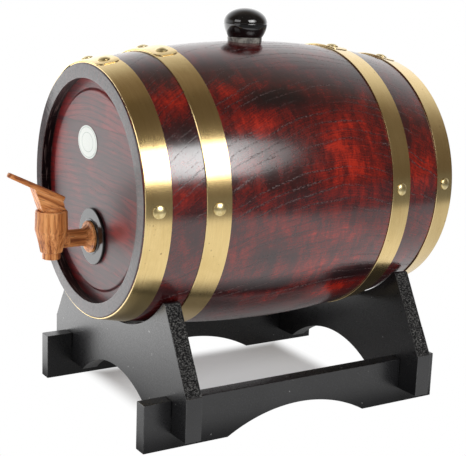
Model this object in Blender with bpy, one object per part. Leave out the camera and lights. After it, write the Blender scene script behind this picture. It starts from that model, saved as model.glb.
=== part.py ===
"""A five-litre oak wine barrel with a wooden tap and a bung, lying in a knock-down wooden stand.

Metres, +Z up. The barrel lies along Y with the tapped head towards -Y. The floor is at Z = 0, and the
origin is on the floor under the middle of the overall box, so the barrel's own middle is at Y = BARREL_Y.
Angles around the barrel run from straight up (0) towards +X (90 degrees).
"""

from math import asin, atan, cos, pi, radians, sin, sqrt

import bmesh
import bpy
from mathutils import Matrix, Vector

MM = 0.001
GAP = 0.3 * MM  # clearance between neighbouring pieces

# Barrel
BARREL_LENGTH = 256 * MM
BULGE_RADIUS = 102.2 * MM
END_RADIUS = 87.5 * MM
STAVE_THICKNESS = 10.1 * MM
STAVE_COUNT = 18
STAVE_ANGLE = 2 * pi / STAVE_COUNT
STAVE_DIVISIONS = 3
STAVE_OUTER_STEPS = 10
STAVE_INNER_STEPS = 6
AXIS_Z = 161.6 * MM
HALF_LENGTH = BARREL_LENGTH / 2
CHIME_CHAMFER = 0.8 * MM

# Heads, whose rims sit in a croze cut round the inside of the staves
HEAD_FACE_DEPTH = 6.7 * MM
HEAD_STEP = 1.5 * MM
HEAD_RAISED_RADIUS = 69.5 * MM
HEAD_RIM_THICKNESS = 4 * MM
HEAD_THICKNESS = 10 * MM
HEAD_SHOULDER_RADIUS = 79.4 * MM
HEAD_INNER_RADIUS = 76 * MM
HEAD_RIM_RADIUS = 82.4 * MM
CROZE_RADIUS = 82.9 * MM
HEAD_JOINTS = (-52 * MM, 4 * MM, 45 * MM)
HEAD_SEGMENTS = 36

# Hoops: each is a riveted strap whose outer end laps over its inner end near the top
HOOP_WIDTH = 17.5 * MM
HOOP_INSET = 0.8 * MM
HOOP_THICKNESS = 0.7 * MM
HOOP_STEPS = 60
LAP_RAMP = radians(14)
LAP_BEFORE = radians(6)
LAP_AFTER = radians(6)

# name, distance of the front edge from the front end, angle between the lap rivets, angle of the second
# lap rivet, angle of the side nails
HOOPS = (
    ("front_end_hoop", HOOP_INSET, radians(17), radians(4.5), radians(88.5)),
    ("front_quarter_hoop", 41 * MM, radians(17), radians(8), radians(88.5)),
    ("rear_quarter_hoop", BARREL_LENGTH - 65.5 * MM, radians(26), radians(4), radians(86.8)),
    ("rear_end_hoop", BARREL_LENGTH - HOOP_WIDTH - HOOP_INSET, radians(26), radians(4.5), radians(86.8)),
)

# Rivets and nails
RIVET_RADIUS = 4.3 * MM
RIVET_HEIGHT = 1.6 * MM
RIVET_SHANK_RADIUS = 1.1 * MM
RIVET_LENGTH = 6 * MM
RIVET_LIFT = 0.15 * MM
RIVET_SEGMENTS = 10
RIVET_DOME_STEPS = (0.45, 0.8)
RIVET_HOLE_DEPTH = 6.6 * MM
RIVET_HOLE_SEGMENTS = 8

# Tap, measured from the barrel's front end and from the floor
TAP_STANDOFF = 24.9 * MM
LEVER_REACH = 31.6 * MM
TAP_Z = AXIS_Z - 32.3 * MM
TAP_TOP_Z = 150.3 * MM
TAP_WAIST_Z = 137 * MM
TAP_BOTTOM_Z = 121.3 * MM
TAP_TOP_RADIUS = 11 * MM
TAP_WAIST_RADIUS = 11.3 * MM
TAP_BOTTOM_RADIUS = 7.9 * MM
TAP_EDGE = 0.7 * MM
TAP_FACETS = 8
TAP_SEGMENTS = 24
ROD_SEGMENTS = 10
SHANK_RADIUS = 6.05 * MM
SHANK_INNER_RADIUS = 5.4 * MM
SHANK_BORE_RADIUS = 2.6 * MM
SHANK_INNER_DEPTH = 26 * MM
FLANGE_RADIUS = 11.2 * MM
FLANGE_DEPTHS = (2.0 * MM, 3.7 * MM)
FLANGE_FLARE = 1.2 * MM
HEAD_BORE_RADIUS = 6.4 * MM
HEAD_BORE_SEGMENTS = 16

# Washer between the tap's flange and the head
WASHER_RADIUS = 19.9 * MM
WASHER_HUB_RADIUS = 12.4 * MM
WASHER_BACK_DEPTH = HEAD_FACE_DEPTH - GAP
WASHER_FACE_DEPTH = 4.5 * MM
WASHER_HUB_DEPTH = 4.0 * MM
WASHER_EDGE = 0.6 * MM

# Key: a tapered plug that turns in the tap, with a web and a sloping paddle above it
KEY_TOP_RADIUS = 7.9 * MM
KEY_BOTTOM_RADIUS = 6.2 * MM
KEY_BOTTOM_Z = 116.4 * MM
KEY_BORE_RADIUS = 2.8 * MM
KEY_ROOT_HEIGHT = 2 * MM
KEY_BORE_OVERRUN = 5 * MM
PADDLE_SLOPE = atan(0.475)
PADDLE_THICKNESS = 4.2 * MM
PADDLE_TIP_THICKNESS = 3.4 * MM
PADDLE_REAR = 8.4 * MM
PADDLE_REAR_Z = 159.8 * MM
PADDLE_REAR_HALF_WIDTH = 5.5 * MM
PADDLE_TIP_HALF_WIDTH = 6 * MM
PADDLE_TIP_STEPS = 8

# The web's outline, in front of the key's axis and above the tap's top
WEB_HALF_WIDTH = 5.2 * MM
WEB_FRONT_LOW = 8.3 * MM
WEB_FRONT_HIGH = 13.5 * MM
WEB_REAR_LOW = -9 * MM
WEB_NECK = (-7.4 * MM, 4.5 * MM)
WEB_REAR_INSET = 2 * MM

# Bung
BUNG_Y_OFFSET = -3 * MM
KNOB_RADIUS = 15.9 * MM
KNOB_SEAM_Z = 277 * MM
KNOB_DOME_HEIGHT = 10.4 * MM
KNOB_BASE_Z = 267 * MM
KNOB_LOWER_HEIGHT = 16.4 * MM
PLUG_TOP_RADIUS = 12.5 * MM
PLUG_BOTTOM_RADIUS = 11 * MM
PLUG_BOTTOM_Z = 242 * MM
SPIGOT_RADIUS = 6 * MM
SPIGOT_HEIGHT = 8 * MM
BUNG_SEGMENTS = 24
KNOB_STEPS = 5

# Label
LABEL_WIDTH = 31 * MM
LABEL_HEIGHT = 23.2 * MM
LABEL_THICKNESS = 0.3 * MM
LABEL_GAP = 0.2 * MM
LABEL_X = -10.9 * MM
LABEL_Z = AXIS_Z + 32.3 * MM
LABEL_SEGMENTS = 32

# Stand
BOARD = 12 * MM
RAIL_THICKNESS = 11 * MM
RAIL_OUTER_X = 86 * MM
RAIL_LENGTH = 248 * MM
RAIL_HEIGHT = 34 * MM
RAIL_ARCH_HALF_SPAN = 58.5 * MM
RAIL_ARCH_HEIGHT = 15.7 * MM
CRADLE_OFFSET = 97.5 * MM
CRADLE_HALF_WIDTH = 105.5 * MM
CRADLE_LEDGE = 0.6 * MM
CRADLE_BOTTOM_Z = 11 * MM
CRADLE_CORNER_Z = 41.5 * MM
CRADLE_SEAM_Z = 60 * MM
EAR_OUTER_X = 73 * MM
EAR_Z = 97.5 * MM
CRADLE_ARCH_HALF_SPAN = 55 * MM
CRADLE_ARCH_TOP_Z = 31.8 * MM
ARCH_STEPS = 14
SEAT_STEPS = 20
LAP_Z = (CRADLE_BOTTOM_Z + RAIL_HEIGHT) / 2

# The overall box runs from the lever's tip to the barrel's rear end
BARREL_Y = (TAP_STANDOFF + LEVER_REACH) / 2
FRONT_Y = BARREL_Y - HALF_LENGTH
TAP_Y = FRONT_Y - TAP_STANDOFF

SHARP_ANGLE = radians(35)


def outer_radius(y):
    """Outside radius of the staves at y from the barrel's middle."""
    return BULGE_RADIUS - (BULGE_RADIUS - END_RADIUS) * (y / HALF_LENGTH) ** 2


def outer_slope(y):
    """Change of the outside radius along y."""
    return -2 * (BULGE_RADIUS - END_RADIUS) * y / HALF_LENGTH**2


def clear_scene():
    for item in list(bpy.data.objects):
        bpy.data.objects.remove(item, do_unlink=True)


def make_material(name, colour, roughness, metallic=0.0):
    material = bpy.data.materials.new(name)
    material.use_nodes = True
    shader = material.node_tree.nodes["Principled BSDF"]
    shader.inputs["Base Color"].default_value = (*colour, 1.0)
    shader.inputs["Roughness"].default_value = roughness
    shader.inputs["Metallic"].default_value = metallic
    material.diffuse_color = (*colour, 1.0)
    return material


def mesh_from(bm, name):
    """Finish a bmesh as a mesh with outward normals and smooth round faces."""
    bmesh.ops.recalc_face_normals(bm, faces=bm.faces[:])
    mesh = bpy.data.meshes.new(name)
    bm.to_mesh(mesh)
    bm.free()
    mesh.shade_smooth()
    mesh.set_sharp_from_angle(angle=SHARP_ANGLE)
    return mesh


def add_object(name, mesh, material=None, location=(0, 0, 0), parent=None):
    item = bpy.data.objects.new(name, mesh)
    bpy.context.scene.collection.objects.link(item)
    item.location = location
    item.parent = parent
    if material is not None:
        item.data.materials.clear()
        item.data.materials.append(material)
    return item


def add_empty(name, location):
    empty = bpy.data.objects.new(name, None)
    bpy.context.scene.collection.objects.link(empty)
    empty.location = location
    return empty


def add_cutter(name, mesh, location=(0, 0, 0)):
    item = add_object(name, mesh, location=location)
    item.hide_render = True
    item.display_type = "WIRE"
    return item


def combine(item, other, operation):
    modifier = item.modifiers.new(other.name, "BOOLEAN")
    modifier.operation = operation
    modifier.solver = "EXACT"
    modifier.object = other


def lathe(profile, segments, facet=None):
    """Turn (radius, height) points round Z; facet(angle, height) may scale a ring's radius."""
    bm = bmesh.new()
    rings = []
    for radius, height in profile:
        if radius == 0:
            rings.append([bm.verts.new((0, 0, height))])
            continue
        ring = []
        for step in range(segments):
            angle = 2 * pi * step / segments
            reach = radius * (facet(angle, height) if facet else 1)
            ring.append(bm.verts.new((reach * cos(angle), reach * sin(angle), height)))
        rings.append(ring)
    for lower, upper in zip(rings, rings[1:] + rings[:1]):
        bridge(bm, lower, upper)
    return bm


def bridge(bm, lower, upper):
    """Join two rings; a ring of one vertex is a point on the axis, and two points need no faces."""
    if len(lower) == 1 and len(upper) == 1:
        return
    count = max(len(lower), len(upper))
    for step in range(count):
        after = (step + 1) % count
        corners = [lower[step % len(lower)], lower[after % len(lower)]]
        corners += [upper[after % len(upper)], upper[step % len(upper)]]
        bm.faces.new(list(dict.fromkeys(corners)))


def extrude_outline(points, thickness, place):
    """A flat outline of (u, v) points made solid; place(u, v, w) gives a corner, w from 0 to thickness."""
    bm = bmesh.new()
    near = [bm.verts.new(place(u, v, 0)) for u, v in points]
    far = [bm.verts.new(place(u, v, thickness)) for u, v in points]
    bm.faces.new(near)
    bm.faces.new(far)
    for index in range(len(points)):
        after = (index + 1) % len(points)
        bm.faces.new((near[index], near[after], far[after], far[index]))
    return bm


def arch_points(half_span, base, rise, steps):
    """Points of a round arch from (half_span, base) over (0, base + rise) to (-half_span, base)."""
    radius = (half_span**2 + rise**2) / (2 * rise)
    reach = asin(half_span / radius)
    centre = base + rise - radius
    turns = [reach * (1 - 2 * step / steps) for step in range(steps + 1)]
    return [(radius * sin(turn), centre + radius * cos(turn)) for turn in turns]


# ---------------------------------------------------------------- barrel shell


def stave_profile():
    """Closed (y, r) outline of a stave cut along its length, with a croze near each end."""
    inner_end = HALF_LENGTH - HEAD_FACE_DEPTH - HEAD_STEP + GAP
    croze_inner = inner_end - HEAD_RIM_THICKNESS - 2 * GAP
    outline = [(-HALF_LENGTH, END_RADIUS - CHIME_CHAMFER)]
    first = -HALF_LENGTH + CHIME_CHAMFER
    for step in range(STAVE_OUTER_STEPS + 1):
        y = first + (-2 * first) * step / STAVE_OUTER_STEPS
        outline.append((y, outer_radius(y)))
    outline.append((HALF_LENGTH, END_RADIUS - CHIME_CHAMFER))
    half = [(HALF_LENGTH, END_RADIUS - STAVE_THICKNESS)]
    half.append((inner_end, outer_radius(inner_end) - STAVE_THICKNESS))
    half.append((inner_end, CROZE_RADIUS))
    half.append((croze_inner, CROZE_RADIUS))
    for step in range(STAVE_INNER_STEPS // 2 + 1):
        y = croze_inner * (1 - 2 * step / STAVE_INNER_STEPS)
        half.append((y, outer_radius(y) - STAVE_THICKNESS))
    outline += half
    outline += [(-y, r) for y, r in reversed(half[:-1])]
    return outline


def make_stave_mesh():
    """One stave standing straight above the barrel's axis, its side faces flat and radial."""
    bm = bmesh.new()
    columns = []
    for y, r in stave_profile():
        half = STAVE_ANGLE / 2 - asin(GAP / 2 / r)
        turns = [half * (2 * step / STAVE_DIVISIONS - 1) for step in range(STAVE_DIVISIONS + 1)]
        columns.append([bm.verts.new((r * sin(turn), y, r * cos(turn))) for turn in turns])
    for this, after in zip(columns, columns[1:] + columns[:1]):
        for step in range(STAVE_DIVISIONS):
            bm.faces.new((this[step], this[step + 1], after[step + 1], after[step]))
    bm.faces.new([column[0] for column in columns])
    bm.faces.new([column[-1] for column in columns])
    return mesh_from(bm, "stave")


def build_staves(material, barrel):
    mesh = make_stave_mesh()
    staves = []
    for index in range(STAVE_COUNT):
        stave = add_object(f"stave_{index + 1:02d}", mesh, material, parent=barrel)
        stave.rotation_euler = (0, index * STAVE_ANGLE, 0)
        staves.append(stave)
    return staves


def plug_radius(z):
    share = (KNOB_BASE_Z - z) / (KNOB_BASE_Z - PLUG_BOTTOM_Z)
    return PLUG_TOP_RADIUS + (PLUG_BOTTOM_RADIUS - PLUG_TOP_RADIUS) * share


def cut_bung_hole(stave):
    ends = (KNOB_BASE_Z, PLUG_BOTTOM_Z)
    profile = [(0, ends[0])]
    profile += [(plug_radius(z) + GAP, z) for z in ends]
    profile.append((0, ends[1]))
    mesh = mesh_from(lathe(profile, BUNG_SEGMENTS), "bung_hole")
    cutter = add_cutter("bung_hole", mesh, (0, BARREL_Y + BUNG_Y_OFFSET, 0))
    combine(stave, cutter, "DIFFERENCE")


def head_profile():
    """(radius, depth from the barrel's end) of a head, from the middle of its face round to its back."""
    face = HEAD_FACE_DEPTH
    rim = face + HEAD_STEP
    back = face + HEAD_THICKNESS
    return [
        (0, face),
        (HEAD_RAISED_RADIUS, face),
        (HEAD_RAISED_RADIUS + HEAD_STEP, rim),
        (HEAD_RIM_RADIUS, rim),
        (HEAD_RIM_RADIUS, rim + HEAD_RIM_THICKNESS),
        (HEAD_SHOULDER_RADIUS, rim + HEAD_RIM_THICKNESS),
        (HEAD_INNER_RADIUS, back),
        (0, back),
    ]


def slice_between(bm, low, high):
    """Keep the part of a closed mesh between two heights on its local Y, and close the cuts."""
    for height, keep_above in ((low, True), (high, False)):
        cut = bmesh.ops.bisect_plane(
            bm,
            geom=bm.verts[:] + bm.edges[:] + bm.faces[:],
            plane_co=(0, height, 0),
            plane_no=(0, 1, 0),
            clear_inner=keep_above,
            clear_outer=not keep_above,
        )
        edges = [item for item in cut["geom_cut"] if isinstance(item, bmesh.types.BMEdge)]
        bmesh.ops.contextual_create(bm, geom=edges)


def build_head(side, material, barrel):
    """Four boards side by side; the head's depth axis points into the barrel."""
    inward = 1 if side == "front" else -1
    limits = (-HEAD_RIM_RADIUS - GAP,) + HEAD_JOINTS + (HEAD_RIM_RADIUS + GAP,)
    boards = []
    for index, (low, high) in enumerate(zip(limits, limits[1:])):
        bm = lathe(head_profile(), HEAD_SEGMENTS)
        slice_between(bm, low + GAP / 2, high - GAP / 2)
        # local Y is the height across the boards, and local Z is the depth into the barrel
        turn = Matrix(((1, 0, 0), (0, 0, inward), (0, 1, 0))).to_4x4()
        bmesh.ops.transform(bm, matrix=turn, verts=bm.verts[:])
        mesh = mesh_from(bm, f"{side}_head_board")
        place = (0, -inward * HALF_LENGTH, 0)
        boards.append(add_object(f"{side}_head_board_{index + 1}", mesh, material, place, barrel))
    return boards


# ---------------------------------------------------------------- hoops and rivets


def lap_lift(travel):
    """How far the strap stands off the barrel after `travel` radians from its inner end."""
    share = (travel - 2 * pi + LAP_RAMP) / LAP_RAMP
    share = min(max(share, 0.0), 1.0)
    return (HOOP_THICKNESS + GAP) * share


def hoop_radius(y, travel):
    return outer_radius(y) + GAP + lap_lift(travel)


def make_hoop_mesh(name, front_edge, start, end):
    """A strap swept round the barrel from angle `start`, past a full turn, to angle `end`."""
    bm = bmesh.new()
    sweep = 2 * pi + end - start
    steps = round(HOOP_STEPS * sweep / (2 * pi))
    edges_y = (front_edge - HALF_LENGTH, front_edge - HALF_LENGTH + HOOP_WIDTH)
    stations = []
    for step in range(steps + 1):
        travel = sweep * step / steps
        angle = start + travel
        section = []
        for y, skin in ((edges_y[0], 0), (edges_y[1], 0), (edges_y[1], 1), (edges_y[0], 1)):
            r = hoop_radius(y, travel) + skin * HOOP_THICKNESS
            section.append(bm.verts.new((r * sin(angle), y, r * cos(angle))))
        stations.append(section)
    for this, after in zip(stations, stations[1:]):
        for corner in range(4):
            other = (corner + 1) % 4
            bm.faces.new((this[corner], this[other], after[other], after[corner]))
    bm.faces.new(stations[0])
    bm.faces.new(stations[-1])
    return mesh_from(bm, name)


def make_rivet_mesh():
    """A domed head with its flat underside at the origin and a shank running down -Z."""
    ball = (RIVET_RADIUS**2 + RIVET_HEIGHT**2) / (2 * RIVET_HEIGHT)
    profile = [(0, RIVET_HEIGHT)]
    for share in RIVET_DOME_STEPS:
        r = RIVET_RADIUS * share
        profile.append((r, RIVET_HEIGHT - ball + sqrt(ball**2 - r**2)))
    profile.append((RIVET_RADIUS, 0))
    profile.append((RIVET_SHANK_RADIUS, 0))
    profile.append((RIVET_SHANK_RADIUS, -RIVET_LENGTH))
    profile.append((0, -RIVET_LENGTH - RIVET_SHANK_RADIUS))
    return mesh_from(lathe(profile, RIVET_SEGMENTS), "rivet")


def make_rivet_hole_mesh():
    radius = RIVET_SHANK_RADIUS + GAP
    depth = RIVET_HOLE_DEPTH + RIVET_SHANK_RADIUS
    profile = [(0, RIVET_HEIGHT), (radius, RIVET_HEIGHT), (radius, -depth), (0, -depth)]
    return mesh_from(lathe(profile, RIVET_HOLE_SEGMENTS), "rivet_hole")


def place_on_hoop(item, y, angle, lapped):
    """Stand an object on the hoop's outside at angle, with its local Z along the surface normal."""
    lift = HOOP_THICKNESS + GAP if lapped else 0
    r = outer_radius(y) + GAP + HOOP_THICKNESS + lift + RIVET_LIFT
    normal = Vector((sin(angle), -outer_slope(y), cos(angle))).normalized()
    item.location = (r * sin(angle), y, r * cos(angle))
    item.rotation_mode = "QUATERNION"
    item.rotation_quaternion = normal.to_track_quat("Z", "Y")


def build_hoops(material, barrel, staves):
    rivet_mesh = make_rivet_mesh()
    hole_mesh = make_rivet_hole_mesh()
    for name, front_edge, spacing, lap_angle, nail_angle in HOOPS:
        first = lap_angle - spacing
        mesh = make_hoop_mesh(name, front_edge, first - LAP_BEFORE, lap_angle + LAP_AFTER)
        hoop = add_object(name, mesh, material, parent=barrel)
        middle = front_edge - HALF_LENGTH + HOOP_WIDTH / 2
        spots = ((first, True), (lap_angle, True), (nail_angle, False), (-nail_angle, False))
        for index, (angle, lapped) in enumerate(spots):
            rivet = add_object(f"{name}_rivet_{index + 1}", rivet_mesh, material, parent=barrel)
            hole = add_cutter(f"{name}_rivet_{index + 1}_hole", hole_mesh)
            hole.parent = barrel
            place_on_hoop(rivet, middle, angle, lapped)
            place_on_hoop(hole, middle, angle, lapped)
            combine(hoop, hole, "DIFFERENCE")
            stave = staves[round(angle / STAVE_ANGLE) % STAVE_COUNT]
            combine(stave, hole, "DIFFERENCE")


# ---------------------------------------------------------------- tap


def along_barrel(bm):
    """Turn a shape made round Z so that it runs along +Y, into the barrel from its front end."""
    turn = Matrix(((1, 0, 0), (0, 0, 1), (0, 1, 0))).to_4x4()
    bmesh.ops.transform(bm, matrix=turn, verts=bm.verts[:])
    return bm


def facet_scale(angle, height):
    """Flats whittled on the tap's lower taper: none at the waist, full at the bottom."""
    share = (TAP_WAIST_Z - height) / (TAP_WAIST_Z - TAP_BOTTOM_Z)
    share = min(max(share, 0.0), 1.0)
    sector = 2 * pi / TAP_FACETS
    off_middle = (angle % sector) - sector / 2
    flat = cos(sector / 2) / cos(off_middle)
    return 1 + (flat - 1) * share


def key_radius(z):
    share = (z - TAP_BOTTOM_Z) / (TAP_TOP_Z - TAP_BOTTOM_Z)
    return KEY_BOTTOM_RADIUS + (KEY_TOP_RADIUS - KEY_BOTTOM_RADIUS) * max(share, 0.0)


def tap_body_bm():
    edge = TAP_EDGE
    profile = [
        (0, TAP_TOP_Z),
        (TAP_TOP_RADIUS - edge, TAP_TOP_Z),
        (TAP_TOP_RADIUS, TAP_TOP_Z - edge),
        (TAP_WAIST_RADIUS, TAP_WAIST_Z),
        (TAP_BOTTOM_RADIUS + edge / 3, TAP_BOTTOM_Z + edge),
        (TAP_BOTTOM_RADIUS - edge / 2, TAP_BOTTOM_Z),
        (0, TAP_BOTTOM_Z),
    ]
    return lathe(profile, TAP_SEGMENTS, facet_scale)


def shank_bm():
    """(radius, depth) from inside the tap's body to the shank's end inside the barrel."""
    front, back = FLANGE_DEPTHS
    flare = FLANGE_FLARE
    profile = [
        (0, -TAP_STANDOFF + KEY_TOP_RADIUS / 2),
        (SHANK_RADIUS, -TAP_STANDOFF + KEY_TOP_RADIUS / 2),
        (SHANK_RADIUS, front - 4 * flare),
        (SHANK_RADIUS + flare, front - flare),
        (FLANGE_RADIUS - flare, front - flare / 2),
        (FLANGE_RADIUS, front + flare / 2),
        (FLANGE_RADIUS, back),
        (SHANK_RADIUS, back),
        (SHANK_INNER_RADIUS, SHANK_INNER_DEPTH),
        (0, SHANK_INNER_DEPTH),
    ]
    return along_barrel(lathe(profile, TAP_SEGMENTS // 2))


def key_bore_bm():
    ends = (TAP_TOP_Z + KEY_BORE_OVERRUN, TAP_BOTTOM_Z - KEY_BORE_OVERRUN)
    profile = [(0, ends[0])]
    for z in (ends[0], TAP_BOTTOM_Z, ends[1]):
        profile.append((key_radius(z) + GAP, z))
    profile.append((0, ends[1]))
    return lathe(profile, TAP_SEGMENTS)


def rod_bm(radius, start, end, segments=ROD_SEGMENTS):
    return lathe([(0, start), (radius, start), (radius, end), (0, end)], segments)


def build_tap(wood, black, barrel):
    tap = add_empty("tap", (0, TAP_Y, 0))
    body = add_object("tap_body", mesh_from(tap_body_bm(), "tap_body"), wood, parent=tap)
    shank = add_cutter("tap_shank", mesh_from(shank_bm(), "tap_shank"), (0, FRONT_Y, TAP_Z))
    combine(body, shank, "UNION")
    bore = add_cutter("key_bore", mesh_from(key_bore_bm(), "key_bore"), (0, TAP_Y, 0))
    combine(body, bore, "DIFFERENCE")
    bore_rod = along_barrel(rod_bm(SHANK_BORE_RADIUS, -TAP_STANDOFF, SHANK_INNER_DEPTH + GAP))
    shank_bore = add_cutter("shank_bore", mesh_from(bore_rod, "shank_bore"), (0, FRONT_Y, TAP_Z))
    combine(body, shank_bore, "DIFFERENCE")

    profile = [
        (HEAD_BORE_RADIUS, WASHER_BACK_DEPTH),
        (HEAD_BORE_RADIUS, WASHER_HUB_DEPTH),
        (WASHER_HUB_RADIUS - WASHER_EDGE, WASHER_HUB_DEPTH),
        (WASHER_HUB_RADIUS, WASHER_FACE_DEPTH),
        (WASHER_RADIUS - WASHER_EDGE, WASHER_FACE_DEPTH),
        (WASHER_RADIUS, WASHER_FACE_DEPTH + WASHER_EDGE),
        (WASHER_RADIUS, WASHER_BACK_DEPTH),
    ]
    washer = mesh_from(along_barrel(lathe(profile, TAP_SEGMENTS)), "tap_washer")
    add_object("tap_washer", washer, black, (0, -HALF_LENGTH, TAP_Z - AXIS_Z), barrel)
    return tap


def cut_tap_hole(board):
    """The hole through the front head that takes the tap's shank."""
    through = HEAD_FACE_DEPTH + 2 * HEAD_THICKNESS
    rod = along_barrel(rod_bm(HEAD_BORE_RADIUS, 0, through, HEAD_BORE_SEGMENTS))
    cutter = add_cutter("tap_hole", mesh_from(rod, "tap_hole"), (0, FRONT_Y, TAP_Z))
    combine(board, cutter, "DIFFERENCE")


def paddle_point(along, across_thickness):
    """(forward, z) of a point `along` the paddle from its rear end and `across_thickness` below its top."""
    forward = -PADDLE_REAR + along * cos(PADDLE_SLOPE) + across_thickness * sin(PADDLE_SLOPE)
    z = PADDLE_REAR_Z + along * sin(PADDLE_SLOPE) - across_thickness * cos(PADDLE_SLOPE)
    return forward, z


def paddle_bm():
    """A paddle that widens and thins to a round tip and slopes up towards -Y."""
    length = (LEVER_REACH + PADDLE_REAR - PADDLE_TIP_THICKNESS * sin(PADDLE_SLOPE)) / cos(PADDLE_SLOPE)
    centre = length - PADDLE_TIP_HALF_WIDTH
    turns = [pi / 2 - pi * step / PADDLE_TIP_STEPS for step in range(PADDLE_TIP_STEPS + 1)]
    outline = [(-PADDLE_REAR_HALF_WIDTH, 0)]
    outline += [
        (-PADDLE_TIP_HALF_WIDTH * sin(turn), centre + PADDLE_TIP_HALF_WIDTH * cos(turn)) for turn in turns
    ]
    outline.append((PADDLE_REAR_HALF_WIDTH, 0))

    def place(x, along, share):
        thickness = PADDLE_THICKNESS + (PADDLE_TIP_THICKNESS - PADDLE_THICKNESS) * along / length
        forward, z = paddle_point(along, thickness * share)
        return (x, -forward, z)

    return extrude_outline(outline, 1, place)


def web_bm():
    """The flat web that carries the paddle, widening upwards from the plug."""
    overlap = PADDLE_THICKNESS / 2
    rear_low = (WEB_REAR_LOW, TAP_TOP_Z + GAP)
    front_low = (WEB_FRONT_LOW, TAP_TOP_Z + GAP)
    front_high = paddle_point((PADDLE_REAR + WEB_FRONT_HIGH) / cos(PADDLE_SLOPE), overlap)
    rear_high = paddle_point(WEB_REAR_INSET, overlap)
    neck = (WEB_NECK[0], TAP_TOP_Z + WEB_NECK[1])
    outline = [rear_low, front_low, front_high, rear_high, neck]

    def place(forward, z, across):
        return (across - WEB_HALF_WIDTH, -forward, z)

    return extrude_outline(outline, 2 * WEB_HALF_WIDTH, place)


def build_key(wood, tap):
    plug_top = TAP_TOP_Z + KEY_ROOT_HEIGHT
    profile = [(0, plug_top)]
    for z in (plug_top, TAP_BOTTOM_Z, KEY_BOTTOM_Z):
        profile.append((key_radius(z), z))
    profile.append((0, KEY_BOTTOM_Z))
    key = add_object("tap_key", mesh_from(lathe(profile, TAP_SEGMENTS), "tap_key"), wood, parent=tap)
    place = (0, TAP_Y, 0)
    combine(key, add_cutter("key_web", mesh_from(web_bm(), "key_web"), place), "UNION")
    combine(key, add_cutter("key_paddle", mesh_from(paddle_bm(), "key_paddle"), place), "UNION")
    down = rod_bm(KEY_BORE_RADIUS, KEY_BOTTOM_Z - GAP, TAP_Z + 2 * KEY_BORE_RADIUS)
    combine(key, add_cutter("key_outlet", mesh_from(down, "key_outlet"), place), "DIFFERENCE")
    side = rod_bm(SHANK_BORE_RADIUS, 0, 2 * KEY_TOP_RADIUS)
    bmesh.ops.rotate(side, cent=(0, 0, 0), matrix=Matrix.Rotation(pi / 2, 3, "Y"), verts=side.verts[:])
    port = add_cutter("key_port", mesh_from(side, "key_port"), (0, TAP_Y, TAP_Z))
    combine(key, port, "DIFFERENCE")


# ---------------------------------------------------------------- bung and label


def build_bung(black, grey):
    bung = add_empty("bung", (0, BARREL_Y + BUNG_Y_OFFSET, 0))
    profile = [(0, KNOB_SEAM_Z + KNOB_DOME_HEIGHT)]
    for step in range(1, KNOB_STEPS + 1):
        turn = (pi / 2) * (1 - step / KNOB_STEPS)
        profile.append((KNOB_RADIUS * cos(turn), KNOB_SEAM_Z + KNOB_DOME_HEIGHT * sin(turn)))
    for step in range(1, KNOB_STEPS):
        drop = (KNOB_SEAM_Z - KNOB_BASE_Z) * step / (KNOB_STEPS - 1)
        profile.append((KNOB_RADIUS * sqrt(1 - (drop / KNOB_LOWER_HEIGHT) ** 2), KNOB_SEAM_Z - drop))
    socket = SPIGOT_RADIUS + GAP
    profile.append((socket, KNOB_BASE_Z))
    profile.append((socket, KNOB_BASE_Z + SPIGOT_HEIGHT + GAP))
    profile.append((0, KNOB_BASE_Z + SPIGOT_HEIGHT + GAP))
    add_object("bung_knob", mesh_from(lathe(profile, BUNG_SEGMENTS), "bung_knob"), black, parent=bung)

    top = KNOB_BASE_Z - GAP
    profile = [
        (0, KNOB_BASE_Z + SPIGOT_HEIGHT),
        (SPIGOT_RADIUS, KNOB_BASE_Z + SPIGOT_HEIGHT),
        (SPIGOT_RADIUS, top),
        (plug_radius(top), top),
        (plug_radius(PLUG_BOTTOM_Z), PLUG_BOTTOM_Z),
        (0, PLUG_BOTTOM_Z),
    ]
    add_object("bung_plug", mesh_from(lathe(profile, BUNG_SEGMENTS), "bung_plug"), grey, parent=bung)


def build_label(material, barrel):
    turns = [2 * pi * step / LABEL_SEGMENTS for step in range(LABEL_SEGMENTS)]
    outline = [(LABEL_WIDTH / 2 * cos(turn), LABEL_HEIGHT / 2 * sin(turn)) for turn in turns]
    back = -HALF_LENGTH + HEAD_FACE_DEPTH - LABEL_GAP
    bm = extrude_outline(outline, LABEL_THICKNESS, lambda x, z, w: (x, -w, z))
    place = (LABEL_X, back, LABEL_Z - AXIS_Z)
    add_object("head_label", mesh_from(bm, "head_label"), material, place, barrel)


# ---------------------------------------------------------------- stand


def rail_outline():
    """(y from the barrel's middle, z) outline of a rail: arched feet below, two notches above."""
    half = RAIL_LENGTH / 2
    notch = BOARD / 2 + GAP
    floor = LAP_Z - GAP / 2
    outline = [(half, 0), (half, RAIL_HEIGHT)]
    for middle in (CRADLE_OFFSET, -CRADLE_OFFSET):
        outline += [(middle + notch, RAIL_HEIGHT), (middle + notch, floor)]
        outline += [(middle - notch, floor), (middle - notch, RAIL_HEIGHT)]
    outline += [(-half, RAIL_HEIGHT), (-half, 0)]
    arch = arch_points(RAIL_ARCH_HALF_SPAN, 0, RAIL_ARCH_HEIGHT, ARCH_STEPS)
    return outline + list(reversed(arch))


def build_rails(material, stand):
    for name, inner_x in (("left_rail", -RAIL_OUTER_X), ("right_rail", RAIL_OUTER_X - RAIL_THICKNESS)):
        bm = extrude_outline(rail_outline(), RAIL_THICKNESS, lambda y, z, w: (w, y, z))
        add_object(name, mesh_from(bm, name), material, (inner_x, 0, 0), stand)


def slant_x(z):
    """Outside edge of a cradle between its lower corner and its ear."""
    share = (z - CRADLE_CORNER_Z) / (EAR_Z - CRADLE_CORNER_Z)
    low = CRADLE_HALF_WIDTH - CRADLE_LEDGE
    return low + (EAR_OUTER_X - low) * share


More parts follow.
